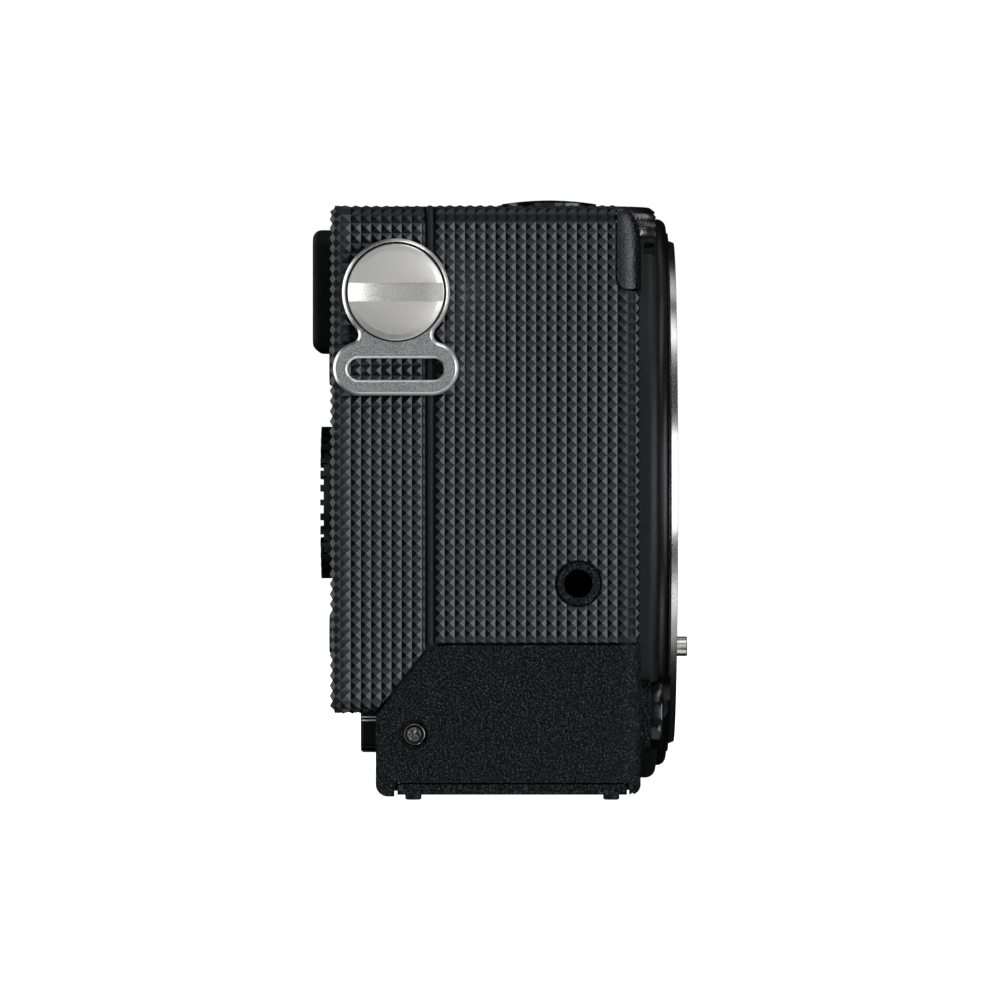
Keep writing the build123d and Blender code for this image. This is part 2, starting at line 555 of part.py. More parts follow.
# Contact block with its pins, along the bottom of the throat
with BuildPart() as mount_contacts:
    with BuildSketch(Plane.XZ.offset(16.2)):
        with Locations((0, AX_Z)):
            Circle(26.35)
            Circle(23.2, mode=Mode.SUBTRACT)
            with Locations((0, 10)):
                Rectangle(60, 56, mode=Mode.SUBTRACT)
    extrude(amount=-4.0)
    # the row of pins stands between two lugs
    with BuildSketch(Plane.XZ.offset(16.9)):
        with Locations((0, AX_Z)):
            Circle(26.0)
            Circle(23.4, mode=Mode.SUBTRACT)
            with Locations((0, 10)):
                Rectangle(60, 56, mode=Mode.SUBTRACT)
            for sx in (-1, 1):
                with Locations((sx * 26.3, -22)):
                    Rectangle(30, 12, mode=Mode.SUBTRACT)
    extrude(amount=-0.8)
    for i in range(9):
        a = radians(-90 + (i - 4) * 5.2)
        rod_y(24.7 * cos(a), AX_Z + 24.7 * sin(a), 0.45, -17.2, -16.8)
    rod_y(LP_X, LP_Z, 2.3, -18, -10, mode=Mode.SUBTRACT)
mount_contacts.part.label = "mount_contacts"
export_step(mount_contacts.part, "parts/mount_contacts.step")

# Lock pin and release button
with BuildPart() as lens_lock_pin:
    rod_y(LP_X, LP_Z, LP_R, -22.64, -13.2)
    chamfer(circle_edges(lens_lock_pin, "Y", -22.64), 0.12)
    rod_y(LP_X, LP_Z, 1.9, -13.4, -12.6)
lens_lock_pin.part.label = "lens_lock_pin"
export_step(lens_lock_pin.part, "parts/lens_lock_pin.step")

with BuildPart() as lens_release_button:
    rod_y(LB_X, LB_Z, LB_R, -19.5, -16.4)
    fillet(circle_edges(lens_release_button, "Y", -19.5), 0.5)
    rod_y(LB_X, LB_Z, 2.0, -16.5, -15.2)
lens_release_button.part.label = "lens_release_button"
export_step(lens_release_button.part, "parts/lens_release_button.step")

# ===========================================================================
# Strap lugs
# ===========================================================================

with BuildSketch(Plane.YZ) as lug_outline:
    with Locations((LUG_Y, LUG_Z)):
        Circle(6.58)
    with Locations((LUG_Y, LUG_Z - 5.5)):
        Rectangle(9.14, 6.5)
    with Locations((LUG_Y, LUG_Z - 9.35)):
        RectangleRounded(15.4, 6.42, 3.2)
    with Locations((LUG_Y, LUG_Z)):
        Circle(2.25, mode=Mode.SUBTRACT)
    with Locations((LUG_Y, LUG_Z - 9.35)):
        RectangleRounded(11.7, 2.6, 1.29, mode=Mode.SUBTRACT)

with BuildPart() as strap_lug_grip:
    with BuildSketch(Plane.YZ.offset(-63.4)):
        add(lug_outline.sketch_local)
    extrude(amount=LUG_T)
strap_lug_grip.part.label = "strap_lug_grip"
export_step(strap_lug_grip.part, "parts/strap_lug_grip.step")

with BuildPart() as strap_lug_far:
    with BuildSketch(Plane.YZ.offset(52.4)):
        add(lug_outline.sketch_local)
    extrude(amount=LUG_T)
strap_lug_far.part.label = "strap_lug_far"
export_step(strap_lug_far.part, "parts/strap_lug_far.step")

# Coin screws through the lugs
with BuildPart() as strap_screws:
    rod_x(LUG_Y, LUG_Z, SCREW_R, -64.6, -63.45)
    chamfer(circle_edges(strap_screws, "X", -64.6), 0.35)
    rod_x(LUG_Y, LUG_Z, 2.2, -63.5, -57.5)
    rod_x(LUG_Y, LUG_Z, SCREW_R, 53.45, 54.6)
    chamfer(circle_edges(strap_screws, "X", 54.6), 0.35)
    rod_x(LUG_Y, LUG_Z, 2.2, 47.5, 53.5)
    # coin slots with a curved floor
    with Locations((-64.6 - 26.2, LUG_Y, LUG_Z), (54.6 + 26.2, LUG_Y, LUG_Z)):
        Cylinder(27.0, 2.25, rotation=(0, 0, 0), mode=Mode.SUBTRACT)
strap_screws.part.label = "strap_screws"
export_step(strap_screws.part, "parts/strap_screws.step")

# Threaded bosses that the coin screws enter
with BuildPart() as strap_bosses:
    rod_x(LUG_Y, LUG_Z, 3.35, -62.3, XG)
    rod_x(LUG_Y, LUG_Z, 2.65, XG - 0.1, -56.5)
    rod_x(LUG_Y, LUG_Z, 2.22, -63, -57.3, mode=Mode.SUBTRACT)
    rod_x(LUG_Y, LUG_Z, 3.35, X_FAR - 0.95, 52.3)
    rod_x(LUG_Y, LUG_Z, 2.65, 46.5, X_FAR - 0.9)
    rod_x(LUG_Y, LUG_Z, 2.22, 47.3, 53, mode=Mode.SUBTRACT)
strap_bosses.part.label = "strap_bosses"
export_step(strap_bosses.part, "parts/strap_bosses.step")

# ===========================================================================
# Side details
# ===========================================================================

with BuildPart() as jack_socket:
    rod_x(JACK_Y, JACK_Z, 2.68, X_GRIP + 0.05, XG + 1.5)
    fillet(circle_edges(jack_socket, "X", X_GRIP + 0.05), 0.2)
    block(XG + 1.35, -47.2, JACK_Y - 3.4, JACK_Y + 3.4, JACK_Z - 3.3, JACK_Z + 3.3)
    rod_x(JACK_Y, JACK_Z, JACK_R, -65, -48.0, mode=Mode.SUBTRACT)
jack_socket.part.label = "jack_socket"
export_step(jack_socket.part, "parts/jack_socket.step")

with BuildPart() as side_screws:
    rod_x(SS_Y, SS_Z, 1.42, X_GRIP + 0.12, X_GRIP + 0.54)
    rod_x(SS_Y, SS_Z, 0.8, X_GRIP + 0.5, X_GRIP + 2.2)
    rod_x(SS_Y, SS_Z, 1.42, X_FAR - 0.54, X_FAR - 0.12)
    rod_x(SS_Y, SS_Z, 0.8, X_FAR - 2.2, X_FAR - 0.5)
    with Locations((X_GRIP + 0.12, SS_Y, SS_Z), (X_FAR - 0.12, SS_Y, SS_Z)):
        Box(0.5, 1.5, 0.3, mode=Mode.SUBTRACT)
        Box(0.5, 0.3, 1.5, mode=Mode.SUBTRACT)
side_screws.part.label = "side_screws"
export_step(side_screws.part, "parts/side_screws.step")

# Hinged port door at the far end, with the sockets behind it
with BuildPart() as port_door:
    block(XF + 0.15, X_FAR - 0.15, -12.3, 4.0, 21.9, 50.1)
    fillet(port_door.edges().filter_by(Axis.X), 1.5)
    rod_z(51.475, 4.1, 0.36, 24.0, 48.0)
port_door.part.label = "port_door"
export_step(port_door.part, "parts/port_door.step")

with BuildPart() as port_sockets:
    block(44.0, XF + 0.05, -8.0, 1.0, 38.0, 45.5)
    block(46.0, XF + 1, -7.0, 0.0, 40.6, 42.9, mode=Mode.SUBTRACT)
    block(44.0, XF + 0.05, -8.0, 1.0, 26.0, 33.5)
    block(45.0, XF + 1, -7.2, 0.2, 28.4, 31.1, mode=Mode.SUBTRACT)
port_sockets.part.label = "port_sockets"
export_step(port_sockets.part, "parts/port_sockets.step")

# ===========================================================================
# Top controls
# ===========================================================================

# Knurled front dial on its shaft
with BuildPart() as front_dial:
    rod_z(FD_X, FD_Y, FD_R, FD_Z0, FD_Z1)
    chamfer(circle_edges(front_dial, "Z", FD_Z1), 0.6)
    chamfer(circle_edges(front_dial, "Z", FD_Z0), 0.3)
    with BuildSketch(Plane.XY.offset(FD_Z0)):
        with Locations((FD_X, FD_Y)):
            with PolarLocations(FD_R + 0.12, 61):
                Rectangle(0.45, 0.45, rotation=45)
    extrude(amount=FD_Z1 - FD_Z0, mode=Mode.SUBTRACT)
    rod_z(FD_X, FD_Y, 1.5, 64.0, FD_Z0 + 0.5)
front_dial.part.label = "front_dial"
export_step(front_dial.part, "parts/front_dial.step")


# Shutter button, a low dome
with BuildPart() as shutter_button:
    rod_z(SB_X, SB_Y, SB_R, 69.0, SB_Z + 1)
    with Locations((SB_X, SB_Y, SB_Z - DOME_R)):
        Sphere(DOME_R, mode=Mode.INTERSECT)
    rod_z(SB_X, SB_Y, 1.4, 66.6, 69.2)
shutter_button.part.label = "shutter_button"
export_step(shutter_button.part, "parts/shutter_button.step")


# Power dial with a short finger
with BuildPart() as power_dial:
    rod_z(PD_X, PD_Y, PD_R, 71.2, 73.1)
    fillet(circle_edges(power_dial, "Z", 73.1), 0.4)
    block(PD_X - 1.3, PD_X + 1.3, PD_Y - 7.2, PD_Y, 71.95, 73.0)
    rod_z(PD_X, PD_Y, 1.5, 67.0, 71.4)
power_dial.part.label = "power_dial"
export_step(power_dial.part, "parts/power_dial.step")

with BuildPart() as video_button:
    rod_z(VB_X, VB_Y, VB_R, 69.4, 72.6)
    fillet(circle_edges(video_button, "Z", 72.6), 0.4)
video_button.part.label = "video_button"
export_step(video_button.part, "parts/video_button.step")

# Mode dial, fluted
with BuildPart() as mode_dial:
    rod_z(MD_X, MD_Y, MD_R, 71.5, 74.4)
    chamfer(circle_edges(mode_dial, "Z", 74.4), 0.4)
    with BuildSketch(Plane.XY.offset(71.0)):
        with Locations((MD_X, MD_Y)):
            with PolarLocations(MD_R + 0.15, 54):
                Rectangle(0.5, 0.5, rotation=45)
    extrude(amount=4, mode=Mode.SUBTRACT)
    rod_z(MD_X, MD_Y, 3.0, 66.0, 72.0)
mode_dial.part.label = "mode_dial"
export_step(mode_dial.part, "parts/mode_dial.step")

# Accessory shoe: bed, side walls and inward lips, open to the rear
with BuildPart() as hot_shoe:
    block(-4.8, 16.8, -5.1, 15.6, 70.65, 71.25)
    block(-4.8, -3.3, -5.1, 15.6, 71.2, 73.35)
    block(15.3, 16.8, -5.1, 15.6, 71.2, 73.35)
    block(-4.8, -0.25, -5.1, 15.6, 73.3, 73.9 - 0.35)
    block(12.25, 16.8, -5.1, 15.6, 73.3, 73.9 - 0.35)
    block(-4.8, 16.8, -5.1, -4.3, 71.2, 72.6)
    fillet(hot_shoe.edges().filter_by(Axis.Z).filter_by_position(Axis.Y, -5.2, -5.0).filter_by_position(Axis.X, -4.9, -4.7), 0.8)
    fillet(hot_shoe.edges().filter_by(Axis.Z).filter_by_position(Axis.Y, -5.2, -5.0).filter_by_position(Axis.X, 16.7, 16.9), 0.8)
hot_shoe.part.label = "hot_shoe"
export_step(hot_shoe.part, "parts/hot_shoe.step")


# ===========================================================================
# Rear controls
# ===========================================================================

# Castellated control wheel: a crown ring with an inner dish
with BuildPart() as control_wheel:
    rod_y(CW_X, CW_Z, CW_R, CW_Y0, CW_Y1)
    rod_y(CW_X, CW_Z, 8.0, CW_Y1 - 0.62, CW_Y1 + 1, mode=Mode.SUBTRACT)
    with BuildSketch(Plane.XZ.offset(-CW_Y1)):
        with Locations((CW_X, CW_Z)):
            with PolarLocations(CW_R - 0.6, 32, start_angle=5.625):
                Rectangle(2.4, 1.1)
    extrude(amount=0.41, mode=Mode.SUBTRACT)
    # each notch runs on down the rim
    with BuildSketch(Plane.XZ.offset(-CW_Y1)):
        with Locations((CW_X, CW_Z)):
            with PolarLocations(CW_R, 32, start_angle=5.625):
                Rectangle(0.5, 1.1)
    extrude(amount=0.85, mode=Mode.SUBTRACT)
    rod_y(CW_X, CW_Z, 4.0, 18, 25, mode=Mode.SUBTRACT)
    rod_y(CW_X, CW_Z, 8.0, 19.1, CW_Y0 + 0.1)
    rod_y(CW_X, CW_Z, 4.0, 18, 25, mode=Mode.SUBTRACT)
control_wheel.part.label = "control_wheel"
export_step(control_wheel.part, "parts/control_wheel.step")

with BuildPart() as ok_button:
    rod_y(CW_X, CW_Z, 3.65, 19.6, 22.5)
    fillet(circle_edges(ok_button, "Y", 22.5), 0.3)
    rod_y(CW_X, CW_Z, 1.5, 15.5, 19.8)
ok_button.part.label = "ok_button"
export_step(ok_button.part, "parts/ok_button.step")

with BuildPart() as upper_rear_button:
    rod_y(CW_X, 52.5, 2.5, 18.6, 22.05)
    fillet(circle_edges(upper_rear_button, "Y", 22.05), 0.3)
    rod_y(CW_X, 52.5, 1.2, 15.5, 18.8)
upper_rear_button.part.label = "upper_rear_button"
export_step(upper_rear_button.part, "parts/upper_rear_button.step")

with BuildPart() as lower_rear_button:
    rod_y(CW_X, 19.5, 2.5, 18.6, 22.05)
    fillet(circle_edges(lower_rear_button, "Y", 22.05), 0.3)
    rod_y(CW_X, 19.5, 1.2, 15.5, 18.8)
lower_rear_button.part.label = "lower_rear_button"
export_step(lower_rear_button.part, "parts/lower_rear_button.step")

# ===========================================================================
# Monitor
# ===========================================================================

with BuildPart() as monitor_housing:
    block(MON_X0, MON_X1, MON_Y0, MON_YG, MON_Z0, MON_Z1)
    fillet(monitor_housing.edges().filter_by(Axis.Y), 1.2)
    block(MON_X0 + 6, MON_X0 + 14, MON_Y0, MON_YG, MON_Z1 - 0.5, MH_Z)
    block(MON_X1 - 14, MON_X1 - 6, MON_Y0, MON_YG, MON_Z1 - 0.5, MH_Z)
    rod_x(MH_Y - 0.2, MH_Z, 0.85, MON_X0 + 6, MON_X0 + 14)
    rod_x(MH_Y - 0.2, MH_Z, 0.85, MON_X1 - 14, MON_X1 - 6)
    rod_x(MH_Y - 0.2, MH_Z, 0.45, MON_X0, MON_X1, mode=Mode.SUBTRACT)
monitor_housing.part.label = "monitor_housing"
export_step(monitor_housing.part, "parts/monitor_housing.step")

with BuildPart() as monitor_glass:
    block(MON_X0 + 0.15, MON_X1 - 0.15, MON_YG + 0.02, MON_Y1, MON_Z0 + 0.15, MON_Z1 - 0.15)
    fillet(monitor_glass.edges().filter_by(Axis.Y), 1.1)
monitor_glass.part.label = "monitor_glass"
export_step(monitor_glass.part, "parts/monitor_glass.step")

# Hinge brackets on the rear shell with their pins
with BuildPart() as monitor_hinge:
    for x0 in (MON_X0 + 4.0, MON_X0 + 14.3, MON_X1 - 16.0, MON_X1 - 5.7):
        block(x0, x0 + 1.7, 15.97, MH_Y + 0.12, MH_Z - 0.48, MH_Z + 0.8)
    rod_x(MH_Y - 0.2, MH_Z, 0.4, MON_X0 + 4.2, MON_X0 + 15.8)
    rod_x(MH_Y - 0.2, MH_Z, 0.4, MON_X1 - 15.8, MON_X1 - 4.2)
monitor_hinge.part.label = "monitor_hinge"
export_step(monitor_hinge.part, "parts/monitor_hinge.step")

# ===========================================================================
# Eyepiece
# ===========================================================================

with BuildPart() as eyepiece_block:
    block(EV_X0 + 1.0, EV_X1 - 1.0, Y_REAR + 0.03, 21.4, EV_Z0 + 1.0, EV_Z1 - 0.6)
    fillet(eyepiece_block.edges().filter_by(Axis.Y), 1.2)
    block(EV_X0 + 4.5, EV_X1 - 4.5, 10, 30, EV_Z0 + 3.5, EV_Z1 - 4.0, mode=Mode.SUBTRACT)
eyepiece_block.part.label = "eyepiece_block"
export_step(eyepiece_block.part, "parts/eyepiece_block.step")

with BuildPart() as eyecup:
    block(EV_X0, EV_X1, 21.45, EV_Y1, EV_Z0, EV_Z1)
    fillet(eyecup.edges().filter_by(Axis.Y), 2.2)
    fillet(eyecup.edges().filter_by_position(Axis.Y, EV_Y1 - 0.02, EV_Y1 + 0.02), 1.2)
    block(EV_X0 + 4.2, EV_X1 - 4.2, 20, 30, EV_Z0 + 3.4, EV_Z1 - 3.6, mode=Mode.SUBTRACT)
eyecup.part.label = "eyecup"
export_step(eyecup.part, "parts/eyecup.step")

with BuildPart() as eyepiece_lens:
    block(EV_X0 + 4.55, EV_X1 - 4.55, 19.4, 21.0, EV_Z0 + 3.55, EV_Z1 - 4.05)
eyepiece_lens.part.label = "eyepiece_lens"
export_step(eyepiece_lens.part, "parts/eyepiece_lens.step")


# ===========================================================================
# Inside
# ===========================================================================

with BuildPart() as shutter_unit:
    block(-25.8, 33.0, -9.8, -5.2, AX_Z - 19, AX_Z + 19)
    block(-18.6, 18.6, -12, 0, AX_Z - 12.6, AX_Z + 12.6, mode=Mode.SUBTRACT)
    # folded blades below and above the window
    block(-19.5, 19.5, -8.2, -7.0, AX_Z - 17, AX_Z + 17, mode=Mode.SUBTRACT)
    block(-19.4, 19.4, -8.1, -7.1, AX_Z - 16.9, AX_Z - 12.7)
    block(-19.4, 19.4, -8.1, -7.1, AX_Z + 12.7, AX_Z + 16.9)
shutter_unit.part.label = "shutter_unit"
export_step(shutter_unit.part, "parts/shutter_unit.step")

with BuildPart() as sensor_glass:
    block(-20.5, 20.5, -4.4, -2.9, AX_Z - 14.5, AX_Z + 14.5)
sensor_glass.part.label = "sensor_glass"
export_step(sensor_glass.part, "parts/sensor_glass.step")

with BuildPart() as image_sensor:
    block(-22, 22, -1.26, 1.0, AX_Z - 16, AX_Z + 16)
    block(-18, 18, -1.36, -1.2, AX_Z - 12, AX_Z + 12)
image_sensor.part.label = "image_sensor"
export_step(image_sensor.part, "parts/image_sensor.step")

with BuildPart() as chassis:
    block(-25.8, 49.0, 1.1, 2.5, 7.0, 62.0)
    block(-25.8, -24.4, -4.8, 1.2, 8.0, 14.0)
    block(-25.8, -24.4, -4.8, 1.2, 58.0, 62.0)
    block(47.6, 49.0, -13.0, 1.2, 8.0, 20.0)
    block(30, 41, 1.0, 3, 12.0, 23.0, mode=Mode.SUBTRACT)
    block(30, 41, 1.0, 3, 46.0, 57.0, mode=Mode.SUBTRACT)
chassis.part.label = "chassis"
export_step(chassis.part, "parts/chassis.step")

with BuildPart() as main_board:
    block(-25.8, 48.8, 6.2, 7.4, 8.0, 60.0)
    block(-10, 6, 7.3, 8.8, 30, 46)
    block(14, 26, 7.3, 8.6, 14, 24)
    block(14, 30, 7.3, 9.4, 38, 50)
    block(-20, -14, 7.3, 9.0, 14, 26)
main_board.part.label = "main_board"
export_step(main_board.part, "parts/main_board.step")

with BuildPart() as battery_bay:
    block(-43.2, -26.2, -13.5, 13.5, 2.7, 49.2)
    block(-42.6, -26.8, -12.9, 12.9, 2.0, 48.6, mode=Mode.SUBTRACT)
    rod_y(0, AX_Z, 27.2, -18, -10, mode=Mode.SUBTRACT)
battery_bay.part.label = "battery_bay"
export_step(battery_bay.part, "parts/battery_bay.step")

with BuildPart() as battery_pack:
    block(-42.3, -27.1, -12.6, 12.6, 1.6, 47.0)
    fillet(battery_pack.edges().filter_by(Axis.Z), 1.5)
battery_pack.part.label = "battery_pack"
export_step(battery_pack.part, "parts/battery_pack.step")


with BuildPart() as card_slot:
    block(-47.0, -43.35, -12.4, 12.9, 3.0, 38.0)
    block(-46.3, -44.05, -11.8, 12.4, 2.0, 36.5, mode=Mode.SUBTRACT)
card_slot.part.label = "card_slot"
export_step(card_slot.part, "parts/card_slot.step")

with BuildPart() as memory_card:
    with BuildSketch(Plane.YZ.offset(-46.2)):
        with BuildLine():
            Polyline((-11.7, 2.4), (12.3, 2.4), (12.3, 34.4), (-7.7, 34.4), (-11.7, 30.4), close=True)
        make_face()
    extrude(amount=2.1)
memory_card.part.label = "memory_card"
export_step(memory_card.part, "parts/memory_card.step")
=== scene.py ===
import json
from math import acos, atan2, cos, degrees, hypot, pi, radians, sin, sqrt, tan

import bmesh
import bpy
import numpy as np
from mathutils import Matrix, Vector
from mathutils.geometry import tessellate_polygon


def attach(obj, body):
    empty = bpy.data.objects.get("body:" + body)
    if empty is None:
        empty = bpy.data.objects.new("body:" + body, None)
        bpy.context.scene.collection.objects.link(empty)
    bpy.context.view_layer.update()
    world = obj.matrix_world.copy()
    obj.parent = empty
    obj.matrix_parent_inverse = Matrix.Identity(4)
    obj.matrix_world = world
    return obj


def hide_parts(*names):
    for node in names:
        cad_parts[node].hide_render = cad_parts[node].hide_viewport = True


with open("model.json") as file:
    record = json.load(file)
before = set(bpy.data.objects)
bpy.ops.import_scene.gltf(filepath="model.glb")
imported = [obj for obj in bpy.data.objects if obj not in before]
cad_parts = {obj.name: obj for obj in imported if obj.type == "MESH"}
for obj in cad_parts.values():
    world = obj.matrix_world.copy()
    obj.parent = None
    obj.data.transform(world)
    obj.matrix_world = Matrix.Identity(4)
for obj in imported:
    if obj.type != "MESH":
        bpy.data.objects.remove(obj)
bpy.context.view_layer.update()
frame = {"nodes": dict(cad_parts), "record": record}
NODES = frame["nodes"]
NODE_BODY = {n: b for b, ns in frame["record"]["behaviour"]["bodies"].items() for n in ns}
SCENE = bpy.context.scene
COLL = SCENE.collection

# All modelling below is in millimetres, in the frame of the part; done() brings
# a mesh to metres.

# ---------------------------------------------------------------------------
# Materials
# ---------------------------------------------------------------------------


class Mat:
    """A small builder for procedural materials."""

    def __init__(self, name):
        self.m = bpy.data.materials.new(name)
        self.m.use_nodes = True
        self.t = self.m.node_tree
        self.t.nodes.clear()
        self.out = self.t.nodes.new("ShaderNodeOutputMaterial")
        self.p = self.t.nodes.new("ShaderNodeBsdfPrincipled")
        self.t.links.new(self.p.outputs[0], self.out.inputs[0])
        self.co = self.t.nodes.new("ShaderNodeTexCoord")
        self.bump_out = None

    def set(self, **kw):
        for k, v in kw.items():
            s = self.p.inputs[k.replace("_", " ")]
            s.default_value = (*v, 1.0) if isinstance(v, (tuple, list)) and len(v) == 3 else v
        return self

    def mapped(self, scale):
        n = self.t.nodes.new("ShaderNodeMapping")
        n.inputs["Scale"].default_value = scale
        self.t.links.new(self.co.outputs["Object"], n.inputs["Vector"])
        return n.outputs[0]

    def noise(self, scale, detail=2.0, rough=0.5, vector=None, distortion=0.0):
        n = self.t.nodes.new("ShaderNodeTexNoise")
        n.inputs["Scale"].default_value = scale
        n.inputs["Detail"].default_value = detail
        n.inputs["Roughness"].default_value = rough
        n.inputs["Distortion"].default_value = distortion
        self.t.links.new(vector or self.co.outputs["Object"], n.inputs["Vector"])
        return n.outputs["Fac"]

    def voronoi(self, scale, feature="F1", smooth=0.5, vector=None):
        n = self.t.nodes.new("ShaderNodeTexVoronoi")
        n.feature = feature
        n.inputs["Scale"].default_value = scale
        if feature == "SMOOTH_F1":
            n.inputs["Smoothness"].default_value = smooth
        self.t.links.new(vector or self.co.outputs["Object"], n.inputs["Vector"])
        return n.outputs["Distance"]

    def ramp(self, fac, a, b, lo, hi):
        """Value a..b of fac spread over lo..hi."""
        n = self.t.nodes.new("ShaderNodeMapRange")
        n.inputs["From Min"].default_value = a
        n.inputs["From Max"].default_value = b
        n.inputs["To Min"].default_value = lo
        n.inputs["To Max"].default_value = hi
        self.t.links.new(fac, n.inputs["Value"])
        return n.outputs[0]

    def colour(self, fac, c0, c1, a=0.35, b=0.65):
        """Base colour between c0 and c1 by fac."""
        n = self.t.nodes.new("ShaderNodeValToRGB")
        e = n.color_ramp.elements
        e[0].position, e[0].color = a, (*c0, 1)
        e[1].position, e[1].color = b, (*c1, 1)
        self.t.links.new(fac, n.inputs[0])
        self.t.links.new(n.outputs[0], self.p.inputs["Base Color"])
        return self

    def roughness(self, fac, lo, hi, a=0.3, b=0.7):
        self.t.links.new(self.ramp(fac, a, b, lo, hi), self.p.inputs["Roughness"])
        return self

    def bump(self, fac, height, strength=1.0):
        n = self.t.nodes.new("ShaderNodeBump")
        n.inputs["Distance"].default_value = height
        n.inputs["Strength"].default_value = strength
        self.t.links.new(fac, n.inputs["Height"])
        if self.bump_out is not None:
            self.t.links.new(self.bump_out, n.inputs["Normal"])
        self.bump_out = n.outputs[0]
        self.t.links.new(self.bump_out, self.p.inputs["Normal"])
        return self


def plastic(name, c0, c1, rough, grain_mm, height_mm, strength=1.0, ior=1.5, coat=0.0, spec=0.5, leather=0.0, tint=(0.90, 0.97, 1.0)):
    """Moulded or painted surface: colour mottling, roughness change, fine grain."""
    m = Mat(name).set(IOR=ior, Coat_Weight=coat, Coat_Roughness=0.12, Specular_IOR_Level=spec, Specular_Tint=tint)
    soft = m.noise(900, 3.0)
    m.colour(soft, c0, c1)
    m.roughness(m.noise(2600, 2.0), rough - 0.05, rough + 0.06)
    if height_mm:
        m.bump(m.noise(1000 / grain_mm, 3.0, 0.6), height_mm / 1000, strength)
    if leather:
        m.bump(m.voronoi(1000 / (grain_mm * 2.4), "SMOOTH_F1", 0.6), leather / 1000, strength)
    return m.m


def grain_and_painted_sheen(name, dark, light, rough, spread, grain_mm, height_mm, spec, a=0.50, b=0.72):
    """Moulded grain with painted sheen: the base colour is lighter on the raised specks (painted highlight) and darker
    in the hollows between (painted shade), from the same noise as the bump.
    """
    m = Mat(name).set(Specular_IOR_Level=spec, Specular_Tint=(0.90, 0.97, 1.0))
    grain = m.noise(1000 / grain_mm, 1.5, 0.55, None, 0.6)
    # painted highlight and shade: the colour follows the height of the grain
    m.colour(grain, dark, light, a, b)
    m.roughness(grain, rough + spread, rough - spread, 0.40, 0.62)
    m.bump(grain, height_mm / 1000)
    m.bump(m.voronoi(1000 / (grain_mm * 1.6), "SMOOTH_F1", 0.5), 0.6 * height_mm / 1000)
    return m.m


def metal(name, c0, c1, rough, grain_mm, height_mm, stretch=None, aniso=0.0, spread=0.05, turned=None):
    """Bare or plated metal: faint tone change, blast or turning marks."""
    m = Mat(name).set(Metallic=1.0, Anisotropic=aniso)
    m.colour(m.noise(1000 / max(grain_mm, 0.1), 2.0), c0, c1)
    m.roughness(m.noise(3000, 2.0), rough - spread, rough + spread)
    if height_mm:
        v = m.mapped(stretch) if stretch else None
        m.bump(m.noise(1000 / grain_mm, 2.0, 0.6, v), height_mm / 1000)
    if turned:
        # marks of the lathe run round the axis, so a highlight spreads along it
        t = m.t.nodes.new("ShaderNodeTangent")
        t.direction_type, t.axis = "RADIAL", turned
        m.t.links.new(t.outputs[0], m.p.inputs["Tangent"])
        m.set(Anisotropic_Rotation=0.25)
    return m.m


M = {}
M["textured_rubber"] = plastic("textured_rubber", (0.0024, 0.0026, 0.0029), (0.0042, 0.0045, 0.0049), 0.33, 0.12, 0.004, spec=0.5, tint=(0.88, 0.97, 1.0))
M["eyecup_rubber"] = plastic("eyecup_rubber", (0.0018, 0.0019, 0.0020), (0.0040, 0.0041, 0.0043), 0.55, 0.30, 0.040, spec=0.14)
M["plain_rubber"] = plastic("plain_rubber", (0.0045, 0.0046, 0.0048), (0.0075, 0.0076, 0.0080), 0.55, 0.12, 0.010, spec=0.35)
M["cast_black"] = plastic("cast_black", (0.0022, 0.0023, 0.0024), (0.0055, 0.0056, 0.0059), 0.42, 0.15, 0.050, spec=0.38)
# grained finish: the bright specks and dark hollows in its colour are painted highlight and shade on the grain
M["grained_black"] = grain_and_painted_sheen("grained_black", (0.0003, 0.0004, 0.0005), (0.074, 0.078, 0.083), 0.32, 0.05, 0.20, 0.20, 0.13, 0.52, 0.72)
# corner rail finish: the bright specks and dark hollows in its colour are painted highlight and shade on the grain
M["rail_black_painted_sheen"] = grain_and_painted_sheen("rail_black_painted_sheen", (0.0004, 0.0005, 0.0006), (0.030, 0.032, 0.034), 0.21, 0.04, 0.21, 0.06, 0.42, 0.52, 0.72)
M["black_plastic"] = plastic("black_plastic", (0.0045, 0.0045, 0.0048), (0.0075, 0.0075, 0.0080), 0.38, 0.14, 0.010, spec=0.42)
M["gloss_black"] = plastic("gloss_black", (0.0022, 0.0022, 0.0024), (0.0040, 0.0040, 0.0043), 0.15, 0.6, 0.003, spec=0.4, coat=0.25)
M["black_screw"] = plastic("black_screw", (0.0040, 0.0040, 0.0042), (0.0070, 0.0070, 0.0073), 0.14, 0.2, 0.003, spec=0.8, coat=0.7)
M["screw_face"] = plastic("screw_face", (0.0022, 0.0022, 0.0024), (0.0040, 0.0040, 0.0043), 0.30, 0.2, 0.006, spec=0.15)
M["inner_plastic"] = plastic("inner_plastic", (0.008, 0.008, 0.009), (0.012, 0.012, 0.013), 0.62, 0.2, 0.010, spec=0.3)
M["mount_steel"] = metal("mount_steel", (0.62, 0.62, 0.61), (0.70, 0.70, 0.69), 0.26, 0.40, 0.0003, stretch=(1, 9, 1), aniso=0.75, spread=0.02, turned="Y")
M["blasted_steel"] = metal("blasted_steel", (0.18, 0.185, 0.19), (0.54, 0.545, 0.55), 0.38, 0.13, 0.016)
M["edge_steel"] = metal("edge_steel", (0.93, 0.925, 0.915), (0.97, 0.965, 0.955), 0.36, 0.30, 0.001)
M["dark_chrome"] = metal("dark_chrome", (0.16, 0.16, 0.162), (0.22, 0.22, 0.223), 0.09, 0.60, 0.0002, spread=0.02)
M["satin_steel"] = metal("satin_steel", (0.73, 0.725, 0.715), (0.80, 0.795, 0.785), 0.34, 0.14, 0.004)
